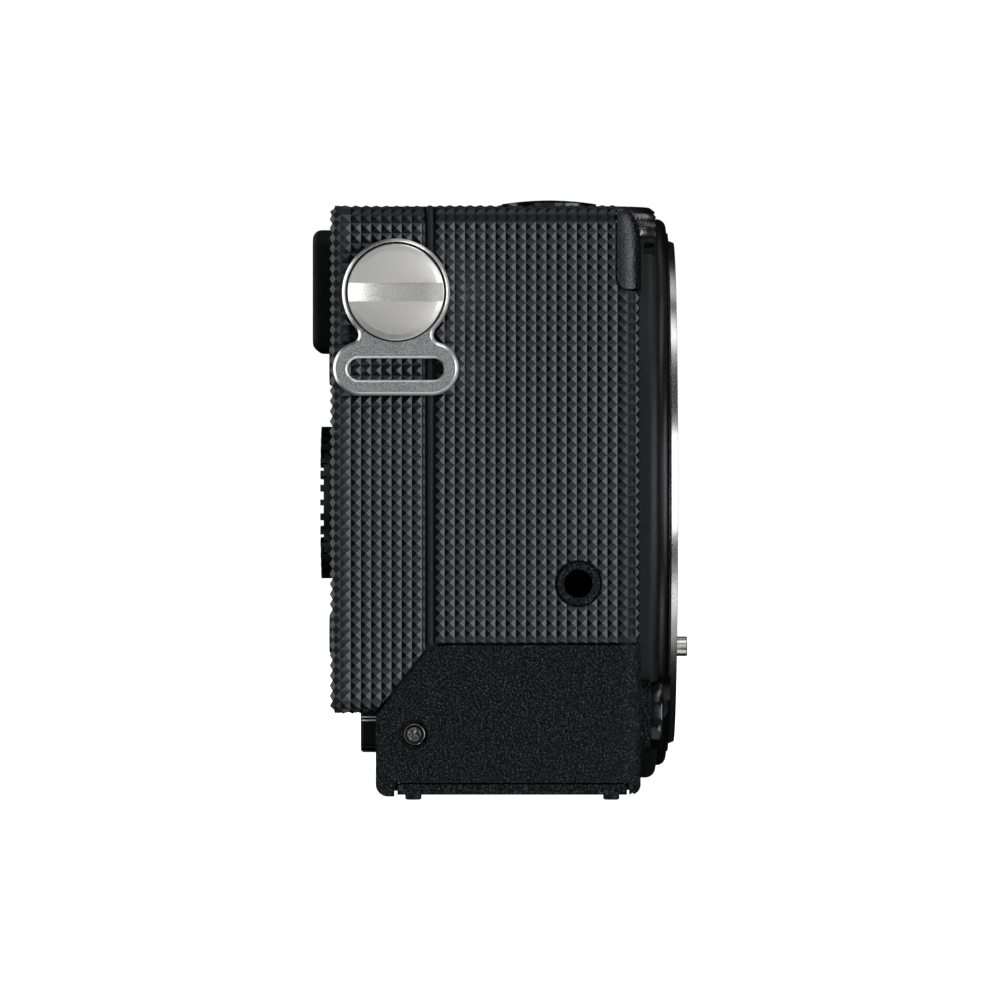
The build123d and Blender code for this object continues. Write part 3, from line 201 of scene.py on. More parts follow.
M["slot_steel"] = metal("slot_steel", (0.70, 0.695, 0.685), (0.78, 0.775, 0.765), 0.24, 0.14, 0.0008)
M["monitor_black"] = plastic("monitor_black", (0.0018, 0.0018, 0.0020), (0.0032, 0.0032, 0.0034), 0.22, 0.6, 0.003, spec=0.14)
# the next two metals colour the monitor's bars that stand in for reflections: painted reflection
M["reflection_steel"] = metal("reflection_steel", (0.70, 0.69, 0.68), (0.78, 0.77, 0.76), 0.30, 0.20, 0.001)
M["bronze_reflection"] = metal("bronze_reflection", (0.20, 0.175, 0.16), (0.26, 0.23, 0.21), 0.35, 0.20, 0.001)
M["polished_steel"] = metal("polished_steel", (0.80, 0.80, 0.79), (0.86, 0.86, 0.85), 0.16, 0.2, 0.001)
M["pin_steel"] = metal("pin_steel", (0.74, 0.74, 0.73), (0.82, 0.82, 0.81), 0.20, 0.2, 0.001)
M["knurled_metal"] = metal("knurled_metal", (0.30, 0.295, 0.295), (0.42, 0.413, 0.413), 0.22, 0.8, 0.0003)
M["black_metal"] = metal("black_metal", (0.022, 0.022, 0.023), (0.036, 0.036, 0.038), 0.34, 0.15, 0.004)
M["gold_contact"] = metal("gold_contact", (0.85, 0.62, 0.26), (0.92, 0.70, 0.34), 0.22, 0.3, 0.001)
M["magnesium"] = metal("magnesium", (0.20, 0.20, 0.20), (0.27, 0.27, 0.27), 0.50, 0.15, 0.010)


def display_glass():
    m = Mat("display_glass").set(Coat_Weight=0.1, Coat_Roughness=0.03, Specular_IOR_Level=0.16)
    m.colour(m.noise(40, 2.0), (0.003, 0.003, 0.0035), (0.005, 0.005, 0.006))
    m.roughness(m.noise(700, 2.0), 0.06, 0.10)
    m.bump(m.noise(60, 1.0), 0.000002)
    return m.m


def clear_glass():
    m = Mat("clear_glass").set(Transmission_Weight=0.85, IOR=1.5, Coat_Weight=0.4, Coat_Roughness=0.03)
    m.colour(m.noise(80, 2.0), (0.30, 0.28, 0.34), (0.38, 0.36, 0.42))
    m.roughness(m.noise(900, 2.0), 0.02, 0.05)
    return m.m


def screen_area():
    m = Mat("screen_area").set(Specular_IOR_Level=0.20, Coat_Weight=0.1, Coat_Roughness=0.03)
    m.colour(m.noise(30, 2.0), (0.012, 0.013, 0.016), (0.017, 0.018, 0.022))
    m.roughness(m.noise(700, 2.0), 0.05, 0.09)
    m.bump(m.noise(5000, 1.0), 0.0000005)
    return m.m


def eyepiece_glass():
    m = Mat("eyepiece_glass").set(Specular_IOR_Level=0.25, Coat_Weight=0.15, Coat_Roughness=0.02)
    m.colour(m.noise(120, 2.0), (0.006, 0.006, 0.010), (0.012, 0.010, 0.018))
    m.roughness(m.noise(900, 2.0), 0.04, 0.07)
    return m.m


def sensor_face():
    m = Mat("sensor").set(Coat_Weight=1.0, Coat_Roughness=0.02, IOR=1.6)
    m.colour(m.noise(60, 2.0), (0.030, 0.045, 0.060), (0.060, 0.040, 0.075))
    m.roughness(m.noise(900, 2.0), 0.12, 0.18)
    m.bump(m.noise(9000, 1.0), 0.000001)
    return m.m


def circuit_board():
    m = Mat("circuit_board").set(Coat_Weight=0.5, Coat_Roughness=0.2)
    m.colour(m.voronoi(420, "F1"), (0.010, 0.060, 0.030), (0.030, 0.100, 0.050), 0.1, 0.6)
    m.roughness(m.noise(1500, 2.0), 0.35, 0.5)
    m.bump(m.noise(2500, 2.0), 0.00003)
    return m.m


M["display_glass"] = display_glass()
M["screen_area"] = screen_area()
M["eyepiece_glass"] = eyepiece_glass()
M["clear_glass"] = clear_glass()
M["sensor"] = sensor_face()
M["circuit_board"] = circuit_board()

NODE_MATERIAL = {
    "front_shell": "cast_black", "af_window": "monitor_black", "rear_shell": "cast_black", "top_cover": "cast_black",
    "lower_housing": "grained_black", "base_plate": "grained_black", "base_screws": "black_screw",
    "battery_door": "grained_black", "door_hinge_pin": "pin_steel", "door_latch": "black_plastic",
    "door_feet": "plain_rubber", "base_feet": "plain_rubber", "tripod_socket": "satin_steel",
    "front_grip_skin": "textured_rubber", "far_grip_skin": "textured_rubber", "corner_cap": "grained_black",
    "seam_strips": "plain_rubber", "rear_grip_core": "inner_plastic", "rear_grip_skin": "textured_rubber",
    "mount_bezel": "black_metal", "mount_ring": "mount_steel", "mount_screws": "pin_steel",
    "throat_baffle": "inner_plastic", "mount_contacts": "black_plastic", "lens_lock_pin": "pin_steel",
    "lens_release_button": "gloss_black", "strap_lug_grip": "blasted_steel", "strap_lug_far": "blasted_steel",
    "strap_screws": "satin_steel", "strap_bosses": "black_metal", "jack_socket": "grained_black",
    "side_screws": "black_screw", "port_door": "plain_rubber", "port_sockets": "black_plastic",
    "front_dial": "knurled_metal", "shutter_button": "gloss_black", "power_dial": "black_metal",
    "video_button": "black_plastic", "mode_dial": "black_metal", "hot_shoe": "black_metal",
    "control_wheel": "black_metal", "ok_button": "black_plastic", "upper_rear_button": "black_plastic",
    "lower_rear_button": "black_plastic", "monitor_housing": "monitor_black", "monitor_glass": "display_glass",
    "monitor_hinge": "black_metal", "eyepiece_block": "black_plastic", "eyecup": "eyecup_rubber",
    "eyepiece_lens": "eyepiece_glass", "shutter_unit": "inner_plastic", "sensor_glass": "clear_glass",
    "image_sensor": "sensor", "chassis": "magnesium", "main_board": "circuit_board",
    "battery_bay": "inner_plastic", "battery_pack": "black_plastic", "card_slot": "magnesium",
    "memory_card": "black_plastic",
}
for name, ob in NODES.items():
    ob.data.materials.clear()
    ob.data.materials.append(M[NODE_MATERIAL.get(name, "cast_black")])

# ---------------------------------------------------------------------------
# Mesh helpers
# ---------------------------------------------------------------------------


def raw(name, verts, faces):
    """Linked object from plain lists, normals outward."""
    me = bpy.data.meshes.new(name)
    me.from_pydata([tuple(v) for v in verts], [], [tuple(f) for f in faces])
    bm = bmesh.new()
    bm.from_mesh(me)
    bmesh.ops.recalc_face_normals(bm, faces=bm.faces[:])
    bm.to_mesh(me)
    bm.free()
    ob = bpy.data.objects.new(name, me)
    COLL.objects.link(ob)
    return ob


def cut(ob, *cutters, op="DIFFERENCE"):
    """Exact boolean of ob with each cutter, which is used up."""
    for c in cutters:
        md = ob.modifiers.new("cut", "BOOLEAN")
        md.operation, md.object, md.solver = op, c, "EXACT"
    dg = bpy.context.evaluated_depsgraph_get()
    dg.update()
    me = bpy.data.meshes.new_from_object(ob.evaluated_get(dg), depsgraph=dg)
    ob.modifiers.clear()
    old, ob.data = ob.data, me
    bpy.data.meshes.remove(old)
    for c in cutters:
        d = c.data
        bpy.data.objects.remove(c)
        bpy.data.meshes.remove(d)
    return ob


def done(ob, material, body, replaces=(), angle=None, name=None):
    """To metres, shaded, given its finish, its body and the nodes it stands for."""
    me = ob.data
    me.transform(Matrix.Scale(0.001, 4))
    me.materials.clear()
    me.materials.append(M[material] if isinstance(material, str) else material)
    for extra in ():
        me.materials.append(extra)
    me.polygons.foreach_set("use_smooth", [angle is not None] * len(me.polygons))
    if angle is not None:
        me.set_sharp_from_angle(angle=radians(angle))
    me.update()
    if name:
        ob.name = name
    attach(ob, body)
    if replaces:
        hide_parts(*replaces)
    return ob


def prism(axis, poly, a0, a1):
    """Closed prism of a polygon along an axis; poly is in the other two axes, in order."""
    n = len(poly)
    ix = {"X": 0, "Y": 1, "Z": 2}[axis]

    def place(p, a):
        v = [p[0], p[1]]
        v.insert(ix, a)
        return v

    verts = [place(p, a0) for p in poly] + [place(p, a1) for p in poly]
    faces = [list(range(n)), list(range(n, 2 * n))]
    faces += [[i, (i + 1) % n, (i + 1) % n + n, i + n] for i in range(n)]
    return raw("cutter", verts, faces)


def disc(axis, c, r, a0, a1, n=160):
    return prism(axis, [(c[0] + r * cos(2 * pi * i / n), c[1] + r * sin(2 * pi * i / n)) for i in range(n)], a0, a1)


def brick(x0, x1, y0, y1, z0, z1):
    return prism("Z", [(x0, y0), (x1, y0), (x1, y1), (x0, y1)], z0, z1)


def lathe(name, axis, centre, profile, n=192):
    """Closed solid of revolution. profile is (radius, along) pairs, from the axis at one end to the axis at the other."""
    ix = {"X": 0, "Y": 1, "Z": 2}[axis]

    def place(r, t, a):
        v = [centre[0] + r * cos(t), centre[1] + r * sin(t)]
        v.insert(ix, a)
        return v

    verts, rows = [], []
    for r, a in profile:
        if r < 1e-9:
            rows.append([len(verts)])
            verts.append(place(0, 0, a))
        else:
            rows.append(list(range(len(verts), len(verts) + n)))
            verts += [place(r, 2 * pi * i / n, a) for i in range(n)]
    faces = []
    for p, q in zip(rows, rows[1:]):
        for i in range(n):
            j = (i + 1) % n
            if len(p) == 1:
                faces.append([p[0], q[i], q[j]])
            elif len(q) == 1:
                faces.append([p[i], p[j], q[0]])
            else:
                faces.append([p[i], p[j], q[j], q[i]])
    if len(rows[0]) > 1 and len(rows[-1]) > 1:  # a ring: close the loop
        p, q = rows[-1], rows[0]
        faces += [[p[i], p[(i + 1) % n], q[(i + 1) % n], q[i]] for i in range(n)]
    return raw(name, verts, faces)


def rounded(points, radii, steps=8):
    """2-D polyline with some corners rounded; radii has one entry for each point."""
    out, n = [], len(points)
    for i, (p, r) in enumerate(zip(points, radii)):
        if not r:
            out.append(tuple(p))
            continue
        a, b, c = Vector(points[i - 1]), Vector(p), Vector(points[(i + 1) % n])
        u, v = (a - b).normalized(), (c - b).normalized()
        half = acos(max(-1, min(1, u.dot(v)))) / 2
        t, d = r / tan(half), r / sin(half)
        m = b + (u + v).normalized() * d
        s, e = b + u * t - m, b + v * t - m
        a0, a1 = atan2(s.y, s.x), atan2(e.y, e.x)
        while a1 - a0 > pi:
            a1 -= 2 * pi
        while a1 - a0 < -pi:
            a1 += 2 * pi
        out += [(m.x + r * cos(a0 + (a1 - a0) * k / steps), m.y + r * sin(a0 + (a1 - a0) * k / steps)) for k in range(steps + 1)]
    return out


class Path:
    """Rounded path in the XY plane, by arc length, with its outward normal."""

    def __init__(self, pts, radii, side):
        self.seg, self.length = [], 0.0
        pts = [Vector(p) for p in pts]
        start = pts[0]
        for i in range(1, len(pts)):
            d1 = (pts[i] - pts[i - 1]).normalized()
            n1 = Vector((d1.y, -d1.x)) * side
            r = radii[i - 1] if i < len(pts) - 1 else 0
            if r:
                d2 = (pts[i + 1] - pts[i]).normalized()
                turn = acos(max(-1, min(1, d1.dot(d2))))
                t = r * tan(turn / 2)
                end = pts[i] - d1 * t
                self.add("L", (end - start).length, start, d1, n1)
                self.add("A", r * turn, end - n1 * r, n1, r, d1)
                start = pts[i] + d2 * t
            else:
                self.add("L", (pts[i] - start).length, start, d1, n1)
                start = pts[i]

    def add(self, kind, length, *rest):
        self.seg.append((kind, self.length, length, rest))
        self.length += length

    def at(self, u):
        for kind, u0, length, rest in self.seg:
            if u <= u0 + length + 1e-9 or (kind, u0, length, rest) == self.seg[-1]:
                s = u - u0
                if kind == "L":
                    p, d, n = rest
                    return p + d * s, n
                c, n0, r, d = rest
                a = s / r
                n = n0 * cos(a) + d * sin(a)
                return c + n * r, n


class Rise:
    """Vertical profile of a skin by arc length: (inset, z, angle). Optional rounding at the foot and the head, then flat."""

    def __init__(self, z0, z1, foot=0.0, head=0.0, corner=None):
        """corner is (head radius past the corner, u where it starts to change, u where it has)."""
        self.z0, self.z1, self.foot, self.head, self.corner = z0, z1, foot, head, corner
        self.v0 = z0 + foot - foot * pi / 2
        self.v1 = z1 - head + head * pi / 2

    def at(self, v, u=0.0):
        f, h = self.foot, self.head
        if self.corner and v > self.z1 - h and u > self.corner[1]:
            k = min(1.0, (u - self.corner[1]) / (self.corner[2] - self.corner[1]))
            g = h + (self.corner[0] - h) * k * k * (3 - 2 * k)
            t = (v - (self.z1 - h)) / (h * pi / 2)
            s = min(1.0, t) * ((h - g) + g * pi / 2)
            if s < h - g:
                return 0.0, self.z1 - h + s, 0.0
            a = (s - (h - g)) / g
            return g * (1 - cos(a)) + max(0.0, t - 1) * h * pi / 2, self.z1 - g + g * sin(a), a
        if f and v < self.z0 + f:
            a = min(pi / 2, (self.z0 + f - v) / f)
            return f * (1 - cos(a)), self.z0 + f - f * sin(a), -a
        if h and v > self.z1 - h:
            a = (v - (self.z1 - h)) / h
            if a > pi / 2:
                return h + (v - self.v1), self.z1, pi / 2
            return h * (1 - cos(a)), self.z1 - h + h * sin(a), a
        return 0.0, v, 0.0


PITCH = 1.241
TIP = 0.34


def pyramid_skin(name, us, vs, at, depth=1.0, keep=None, relief=lambda u, v: 1.0):
    """Closed skin of square pyramids over the grid us x vs. at(u, v) gives the tip surface's point and normal."""
    verts, faces, outer, inner = [], [], {}, {}

    def corner(i, j):
        if (i, j) not in outer:
            p, n = at(us[i], vs[j])
            outer[i, j] = len(verts)
            verts.append(p - n * TIP * relief(us[i], vs[j]))
            inner[i, j] = len(verts)
            verts.append(p - n * depth)
        return outer[i, j], inner[i, j]

    present = {}
    for i in range(len(us) - 1):
        for j in range(len(vs) - 1):
            if keep is None or keep((us[i] + us[i + 1]) / 2, (vs[j] + vs[j + 1]) / 2):
                present[i, j] = True
    for i, j in present:
        o, k = zip(corner(i, j), corner(i + 1, j), corner(i + 1, j + 1), corner(i, j + 1))
        p, n = at((us[i] + us[i + 1]) / 2, (vs[j] + vs[j + 1]) / 2)
        share = min(1.0, (us[i + 1] - us[i]) / PITCH, (vs[j + 1] - vs[j]) / PITCH)
        a = len(verts)
        verts.append(p - n * TIP * (1 - share) * relief((us[i] + us[i + 1]) / 2, (vs[j] + vs[j + 1]) / 2))
        for q in range(4):
            faces.append([o[q], o[(q + 1) % 4], a])
        faces.append(list(reversed(k)))
        for q, (di, dj) in enumerate(((0, -1), (1, 0), (0, 1), (-1, 0))):
            if (i + di, j + dj) not in present:
                faces.append([o[q], k[q], k[(q + 1) % 4], o[(q + 1) % 4]])
    return raw(name, verts, faces)


def grid_lines(a, b, phase, pitch=PITCH, least=0.12):
    """Valley lines from a to b with one at phase; slivers at the ends are merged."""
    k0 = int(np.floor((a - phase) / pitch)) + 1
    out = [a]
    k = k0
    while phase + k * pitch < b - least:
        if phase + k * pitch > a + least:
            out.append(phase + k * pitch)
        k += 1
    return out + [b]


def skin_map(path, rise):
    def at(u, v):
        p, n = path.at(u)
        inset, z, a = rise.at(v, u)
        q = p - n * inset
        return Vector((q.x, q.y, z)), Vector((n.x * cos(a), n.y * cos(a), sin(a)))

    return at


def softer(u0, u1, k_u, v0, k_v):
    """Lower relief where the skin turns a corner (u0 to u1) and over its top edge (from v0)."""
    def relief(u, v):
        a = k_u if u0 < u < u1 else 1.0
        return min(a, 1.0 - (1.0 - k_v) * max(0.0, min(1.0, (v - v0) / 1.2)))
    return relief


# ---------------------------------------------------------------------------
# Textured skins
# ---------------------------------------------------------------------------
AX_Z = 36.95
ROW_F = 28.987       # a valley row of the front skin
ROW_R = 47.413       # and of the rear one
LUG_Y, LUG_Z = 13.72, 61.25

# grip end, front: side face, corner, front face, and a fold over the top edge
path = Path([(-62.0, 8.92), (-62.0, -16.1), (-27.6, -16.1)], [1.5], 1)
rise = Rise(18.47, 72.05, 0.0, 2.7)
us = grid_lines(0.0, path.length, 8.92 + 4.606)
vs = grid_lines(18.47, rise.v1 + 0.3, ROW_F)
ob = pyramid_skin("front_grip_texture", us, vs, skin_map(path, rise), keep=lambda u, v: not (u > 22.3 and v > 62.5), relief=softer(23.3, 26.1, 0.6, 69.4, 0.7))
cut(
    ob,
    prism("X", rounded([(-20, 61.38), (-13.15, 61.38), (-13.15, 80), (-20, 80)], [0, 1.75, 0, 0], 10), -70, -20),
    disc("Y", (0, AX_Z), 36.85, -30, 0, 360),
    disc("X", (-8.53, 25.74), 2.9, -66, -58, 96),
)
done(ob, "textured_rubber", "root", ["front_grip_skin"])

# far end: the same, with the mouth of the port door
path = Path([(52.0, 8.92), (52.0, -16.1), (27.6, -16.1)], [1.55], -1)
rise = Rise(18.47, 72.0, 0.0, 1.5)
us = grid_lines(0.0, path.length, 8.92 + 4.606)
vs = grid_lines(18.47, rise.v1, ROW_F)
ob = pyramid_skin("far_grip_texture", us, vs, skin_map(path, rise), keep=lambda u, v: not (u > 29.5 and v > 71.5), relief=softer(23.3, 26.2, 0.6, 70.4, 0.7))
cut(
    ob,
    brick(20, 49.0, -30, 20, 69.95, 80),
    disc("Y", (0, AX_Z), 36.85, -30, 0, 360),
    brick(48, 60, -12.6, 4.6, 21.6, 50.4),
)
done(ob, "textured_rubber", "root", ["far_grip_skin"])


def slab(name, x0, x1, y0, y1, z, up, depth, keep=None):
    """Level patch of the texture facing up or down."""
    nx, ny = max(1, round((x1 - x0) / PITCH)), max(1, round((y1 - y0) / PITCH))
    xs = [x0 + (x1 - x0) * i / nx for i in range(nx + 1)]
    ys = [y0 + (y1 - y0) * j / ny for j in range(ny + 1)]
    n = Vector((0, 0, 1 if up else -1))
    return pyramid_skin(name, xs, ys, lambda a, b: (Vector((a, b, z)), n), depth, keep)


ob = slab("far_top_texture", 49.0, 50.5, -14.6, 8.92, 72.0, True, 1.0)
done(ob, "textured_rubber", "root", [])

# rear grip: side face, corner, rear face, return
path = Path([(-62.0, 10.24), (-62.0, 21.84), (-39.0, 21.84), (-39.0, 16.25)], [1.15, 1.15], -1)
rise = Rise(9.8, 72.0, 1.1, 2.5, (1.15, 8.6, 11.4))
us = grid_lines(0.0, path.length, 20.49 - 10.24)
vs = grid_lines(rise.v0, rise.v1, ROW_R)
ob = pyramid_skin("rear_grip_texture", us, vs, skin_map(path, rise), relief=softer(10.2, 12.5, 0.5, 69.4, 0.7))
CW = (-50.0, 35.64)
cut(
    ob,
    prism("X", [(16.6, 8.0), (16.6, 9.75), (15.55, 10.95), (10.5, 17.35), (10.24, 17.65), (9.0, 17.8), (9.0, 8.0)], -66, -58),
    disc("Y", CW, 9.7, 18, 30),
    disc("Y", (CW[0], 52.5), 2.75, 18, 30, 96),
    disc("Y", (CW[0], 19.5), 2.75, 18, 30, 96),
    disc("X", (LUG_Y, LUG_Z), 3.45, -66, -58, 96),
)
done(ob, "textured_rubber", "root", ["rear_grip_skin"])

ob = slab("rear_grip_top", -59.5, -40.1, 10.24, 20.66, 72.0, True, 1.0, keep=lambda x, y: y > 16.3)
done(ob, "textured_rubber", "root", [])
ob = slab("rear_grip_bottom", -60.9, -40.1, 16.30, 20.74, 9.8, False, 0.95)
done(ob, "textured_rubber", "root", [])

# floor of the control wheel's well, in plain rubber under the texture
ob = lathe("wheel_well", "Y", CW, [(8.25, 20.45), (9.68, 20.45), (9.68, 21.40), (9.50, 21.48), (9.45, 20.75), (8.25, 20.75)])
done(ob, "plain_rubber", "root", [], 40)

# ---------------------------------------------------------------------------
# Seam strips, rounded and folded over the top edge
# ---------------------------------------------------------------------------


def seam(name, side, x_out):
    """Strip swept up the end face and over the edge."""
    rise = Rise(18.35, 71.92, 0.0, 1.5)
    section = rounded([(9.21, 0.0), (9.21, 0.85), (9.97, 0.85), (9.97, 0.0)], [0.24, 0.04, 0.04, 0.24], 6)
    vs = [18.35, 30, 45, 60, 70.42] + [70.42 + 1.5 * radians(a) for a in range(6, 91, 6)] + [rise.v1 + 1.4]
    verts, faces, n = [], [], len(section)
    for v in vs:
        inset, z, a = rise.at(v)
        for y, dep in section:
            verts.append((x_out - side * (inset + dep * cos(a)), y, z - dep * sin(a)))
    for i in range(len(vs) - 1):
        for k in range(n):
            m = (k + 1) % n
            faces.append([i * n + k, i * n + m, (i + 1) * n + m, (i + 1) * n + k])
    faces += [list(range(n)), list(range((len(vs) - 1) * n, len(vs) * n))]
    return raw(name, verts, faces)


done(seam("seam_strip_grip", -1, -61.92), "plain_rubber", "root", ["seam_strips"], 40)
done(seam("seam_strip_far", 1, 51.9), "plain_rubber", "root", [], 40)

# ---------------------------------------------------------------------------
# Grained corner rail
# ---------------------------------------------------------------------------
prof = [  # z, inset of the front face, corner radius, inset of the end face
    (61.62, 0.10, 1.55, 0.10), (61.74, 0.0, 1.6, 0.0), (64.0, 0.0, 1.6, 0.0), (66.6, 0.0, 1.6, 0.0), (67.9, 0.05, 1.6, 0.0),
    (68.8, 0.14, 1.65, 0.0), (69.5, 0.29, 1.7, 0.0), (70.0, 0.50, 1.75, 0.0), (70.46, 0.78, 1.8, 0.02), (70.85, 1.05, 1.8, 0.07),
    (71.2, 1.30, 1.8, 0.16), (71.42, 1.50, 1.8, 0.27), (71.55, 1.68, 1.75, 0.40), (71.6, 1.85, 1.7, 0.55),
]
verts, faces, rings = [], [], []
for z, fy, r, fx in prof:
    x0, y0 = -62.0 + fx, -16.2 + fy
    r = min(r + 1.0, 2.88 - fy)
    ring = [(x0, -13.25)]
    ring += [(x0 + r - r * cos(radians(a)), y0 + r - r * sin(radians(a))) for a in np.linspace(0, 90, 19)]
    ring += [(x, y0) for x in np.linspace(-57, -31, 14)] + [(-31, -13.25)]
    rings.append(len(ring))
    verts += [(x, y, z) for x, y in ring]
n = rings[0]
for i in range(len(prof) - 1):
    for k in range(n):
        m = (k + 1) % n
        faces.append([i * n + k, i * n + m, (i + 1) * n + m, (i + 1) * n + k])
faces += [list(range(n)), list(range((len(prof) - 1) * n, len(prof) * n))]
ob = raw("corner_rail", verts, faces)
cut(
    ob,
    brick(-61.0, -20, -15.1, -10, 50, 69.98),
    prism("X", [(-12.9, 61.2), (-12.9, 63.22)] + [(-14.85 + 1.6 * cos(radians(a)), 63.22 + 1.6 * sin(radians(a))) for a in range(0, -91, -6)] + [(-14.85, 61.2)], -63, -60.9),
    disc("Y", (0, AX_Z), 36.85, -30, 0, 360),
    disc("Z", (-49.0, -9.74), 8.95, 67.85, 80, 200),
)
done(ob, "rail_black_painted_sheen", "root", ["corner_cap"], 35)

# ---------------------------------------------------------------------------
# Strap lugs and coin screws
# ---------------------------------------------------------------------------


def arc(c, r, a0, a1, n):
    return [(c[0] + r * cos(a0 + (a1 - a0) * i / n), c[1] + r * sin(a0 + (a1 - a0) * i / n)) for i in range(n + 1)]


def lug_loops():
    """Outline, strap slot and screw hole of the lug, about the screw's axis. Counter-clockwise."""
    rc = 1.02
    c = (4.57 + rc, -5.15)                       # centre of the waist's hollow arc
    lobe, rl = (4.39, -9.27), 3.28
    a_top = atan2(c[1], c[0])                    # where the disc meets the hollow
    a_in = atan2(-c[1], -c[0])
    a_lobe = atan2(lobe[1] - c[1], lobe[0] - c[0])
    right = arc((0, 0), 6.58, pi / 2, a_top, 40)
    hollow = arc(c, rc, a_in, a_lobe + 2 * pi if a_lobe < a_in - pi else a_lobe, 12)
    start = atan2(c[1] - lobe[1], c[0] - lobe[0])
    low = arc(lobe, rl, start, -pi / 2, 24)
    half = right + hollow[1:-1] + low
    left = [(-x, y) for x, y in reversed(half)]
    outline = half + left[:-1]
    outline = [p for i, p in enumerate(outline) if hypot(p[0] - outline[i - 1][0], p[1] - outline[i - 1][1]) > 1e-4]
    outline = outline[::-1]
    slot = []
    for cx, s in ((5.85 - 1.3, 1), (-5.85 + 1.3, -1)):
        slot += [(cx + 1.3 * s * cos(a), -9.35 + 1.3 * s * sin(a)) for a in np.linspace(-pi / 2, pi / 2, 17)]
    hole = [(2.25 * cos(2 * pi * i / 48), 2.25 * sin(2 * pi * i / 48)) for i in range(48)]
    return outline, slot, hole


def normals2(loop, sign):
    """Unit normals of a closed loop, out of the material when sign is right."""
    out, n = [], len(loop)
    for i in range(n):
        t = Vector(loop[(i + 1) % n]) - Vector(loop[i - 1])
        t.normalize()
        out.append(Vector((t.y, -t.x)) * sign)
    return out


def area2(loop):
    return sum(loop[i - 1][0] * loop[i][1] - loop[i][0] * loop[i - 1][1] for i in range(len(loop))) / 2


def bevelled_plate(name, loops, x_face, x_back, bevels, yc, zc):
    """Plate in the YZ plane with rounded-over edges on every loop; also returns which faces lie on the rounded edges.
    """
    s = 1 if x_back > x_face else -1
    back = [(abs(x_back - x_face) - 0.12, 0.0), (abs(x_back - x_face), 0.12)]
    verts, faces, shiny, first, last = [], [], [], [], []
    for li, loop in enumerate(loops):
        if (area2(loop) > 0) != (li == 0):
            loop = loop[::-1]
        nn, b = normals2(loop, 1), bevels[li]
        # a small step in from the face, then the rounded edge
        rows = [(0.0, b + 0.05), (0.035, b)]
        rows += [(0.035 + 0.06 * b, b * 0.93), (0.035 + 0.90 * b, b * 0.07), (0.035 + 1.05 * b, 0.0)] + back
        n, base = len(loop), len(verts)
        for dx, inset in rows:
            for p, q in zip(loop, nn):
                verts.append((x_face + s * dx, yc + p[0] - q.x * inset, zc + p[1] - q.y * inset))
        for r in range(len(rows) - 1):
            for k in range(n):
                m = (k + 1) % n
                faces.append([base + r * n + k, base + r * n + m, base + (r + 1) * n + m, base + (r + 1) * n + k])
                shiny.append(True)
        first.append([base + k for k in range(n)])
        last.append([base + (len(rows) - 1) * n + k for k in range(n)])
    for ring in (first, last):
        poly = [[Vector((verts[i][1], verts[i][2], 0)) for i in r] for r in ring]
        flat = [i for r in ring for i in r]
        for tri in tessellate_polygon(poly):
            faces.append([flat[t] for t in tri])
            shiny.append(False)
    ob = raw(name, verts, faces)
    return ob, shiny


for name, body, xf, xb in (("lug_plate_grip", "strap_lug_grip", -63.4, -62.4), ("lug_plate_far", "strap_lug_far", 53.4, 52.4)):
    ob, shiny = bevelled_plate(name, lug_loops(), xf, xb, (0.34, 0.22, 0.20), LUG_Y, LUG_Z)
    # recess round the screw head, with a black ring in it: painted shade, standing in for the shadow in the gap round
    # the screw
    s = 1 if xb > xf else -1
    ob = cut(ob, disc("X", (LUG_Y, LUG_Z + 0.06), 6.12, *sorted((xf - s * 0.5, xf + s * 0.55)), 192))
    done(ob, "blasted_steel", body, [body], 30)
    ob.data.materials.append(M["edge_steel"])
    for p in ob.data.polygons:
        c = p.center * 1000
        if abs(p.normal.x) < 0.995 and hypot(c.y - LUG_Y, c.z - LUG_Z - 0.06) > 6.13:
            p.material_index = 1
    # painted shade: black ring in the recess, for the shadow round the screw head
    ob = lathe(name.replace("plate", "painted_shade_ring"), "X", (LUG_Y, LUG_Z + 0.06), [(2.4, xf + s * 0.36), (5.98, xf + s * 0.36), (6.08, xf + s * 0.42), (6.08, xf + s * 0.53), (2.4, xf + s * 0.53)], 160)
    done(ob, "plain_rubber", body, [], 40)

for name, s, x0 in (("coin_screw_grip", 1, -64.6), ("coin_screw_far", -1, 54.6)):
    rows = [(0, 0), (5.16, 0), (5.20, 0.01), (5.76, 0.13), (5.86, 0.21), (5.895, 0.34), (5.895, 1.10), (5.82, 1.15), (2.2, 1.15), (2.2, 7.0), (0, 7.0)]
    ob = lathe(name, "X", (LUG_Y, LUG_Z), [(r, x0 + s * a) for r, a in rows], 224)
    # coin slot with a curved floor
    cx = x0 - s * 26.2
    ob = cut(ob, disc("Z", (cx, LUG_Y), 27.0, LUG_Z - 1.125, LUG_Z + 1.125, 1400))
    done(ob, "satin_steel", "root", ["strap_screws"] if s == 1 else [], 25)
    # polished chamfer
    ob.data.materials.append(M["polished_steel"])
    ob.data.materials.append(M["slot_steel"])
    for p in ob.data.polygons:
        c = p.center * 1000
        r = hypot(c.y - LUG_Y, c.z - LUG_Z)
        if abs(p.normal.x) < 0.97 and 5.25 < r and abs(c.x - x0) < 0.6 and abs(p.normal.z) < 0.999 and (p.normal.y * (c.y - LUG_Y) + p.normal.z * (c.z - LUG_Z)) > 0.4 * r:
            p.material_index = 0
        elif abs(c.z - LUG_Z) < 1.13 and abs(c.x - x0) > 0.05 and s * (c.x - x0) < 1.0 and r < 5.89:
            p.material_index = 2

# ---------------------------------------------------------------------------
# Front dial: three rows of small pyramids round a turned core
# ---------------------------------------------------------------------------
FD = (-49.0, -9.74)
R_TIP, R_VAL, TEETH = 8.5, 8.14, 72


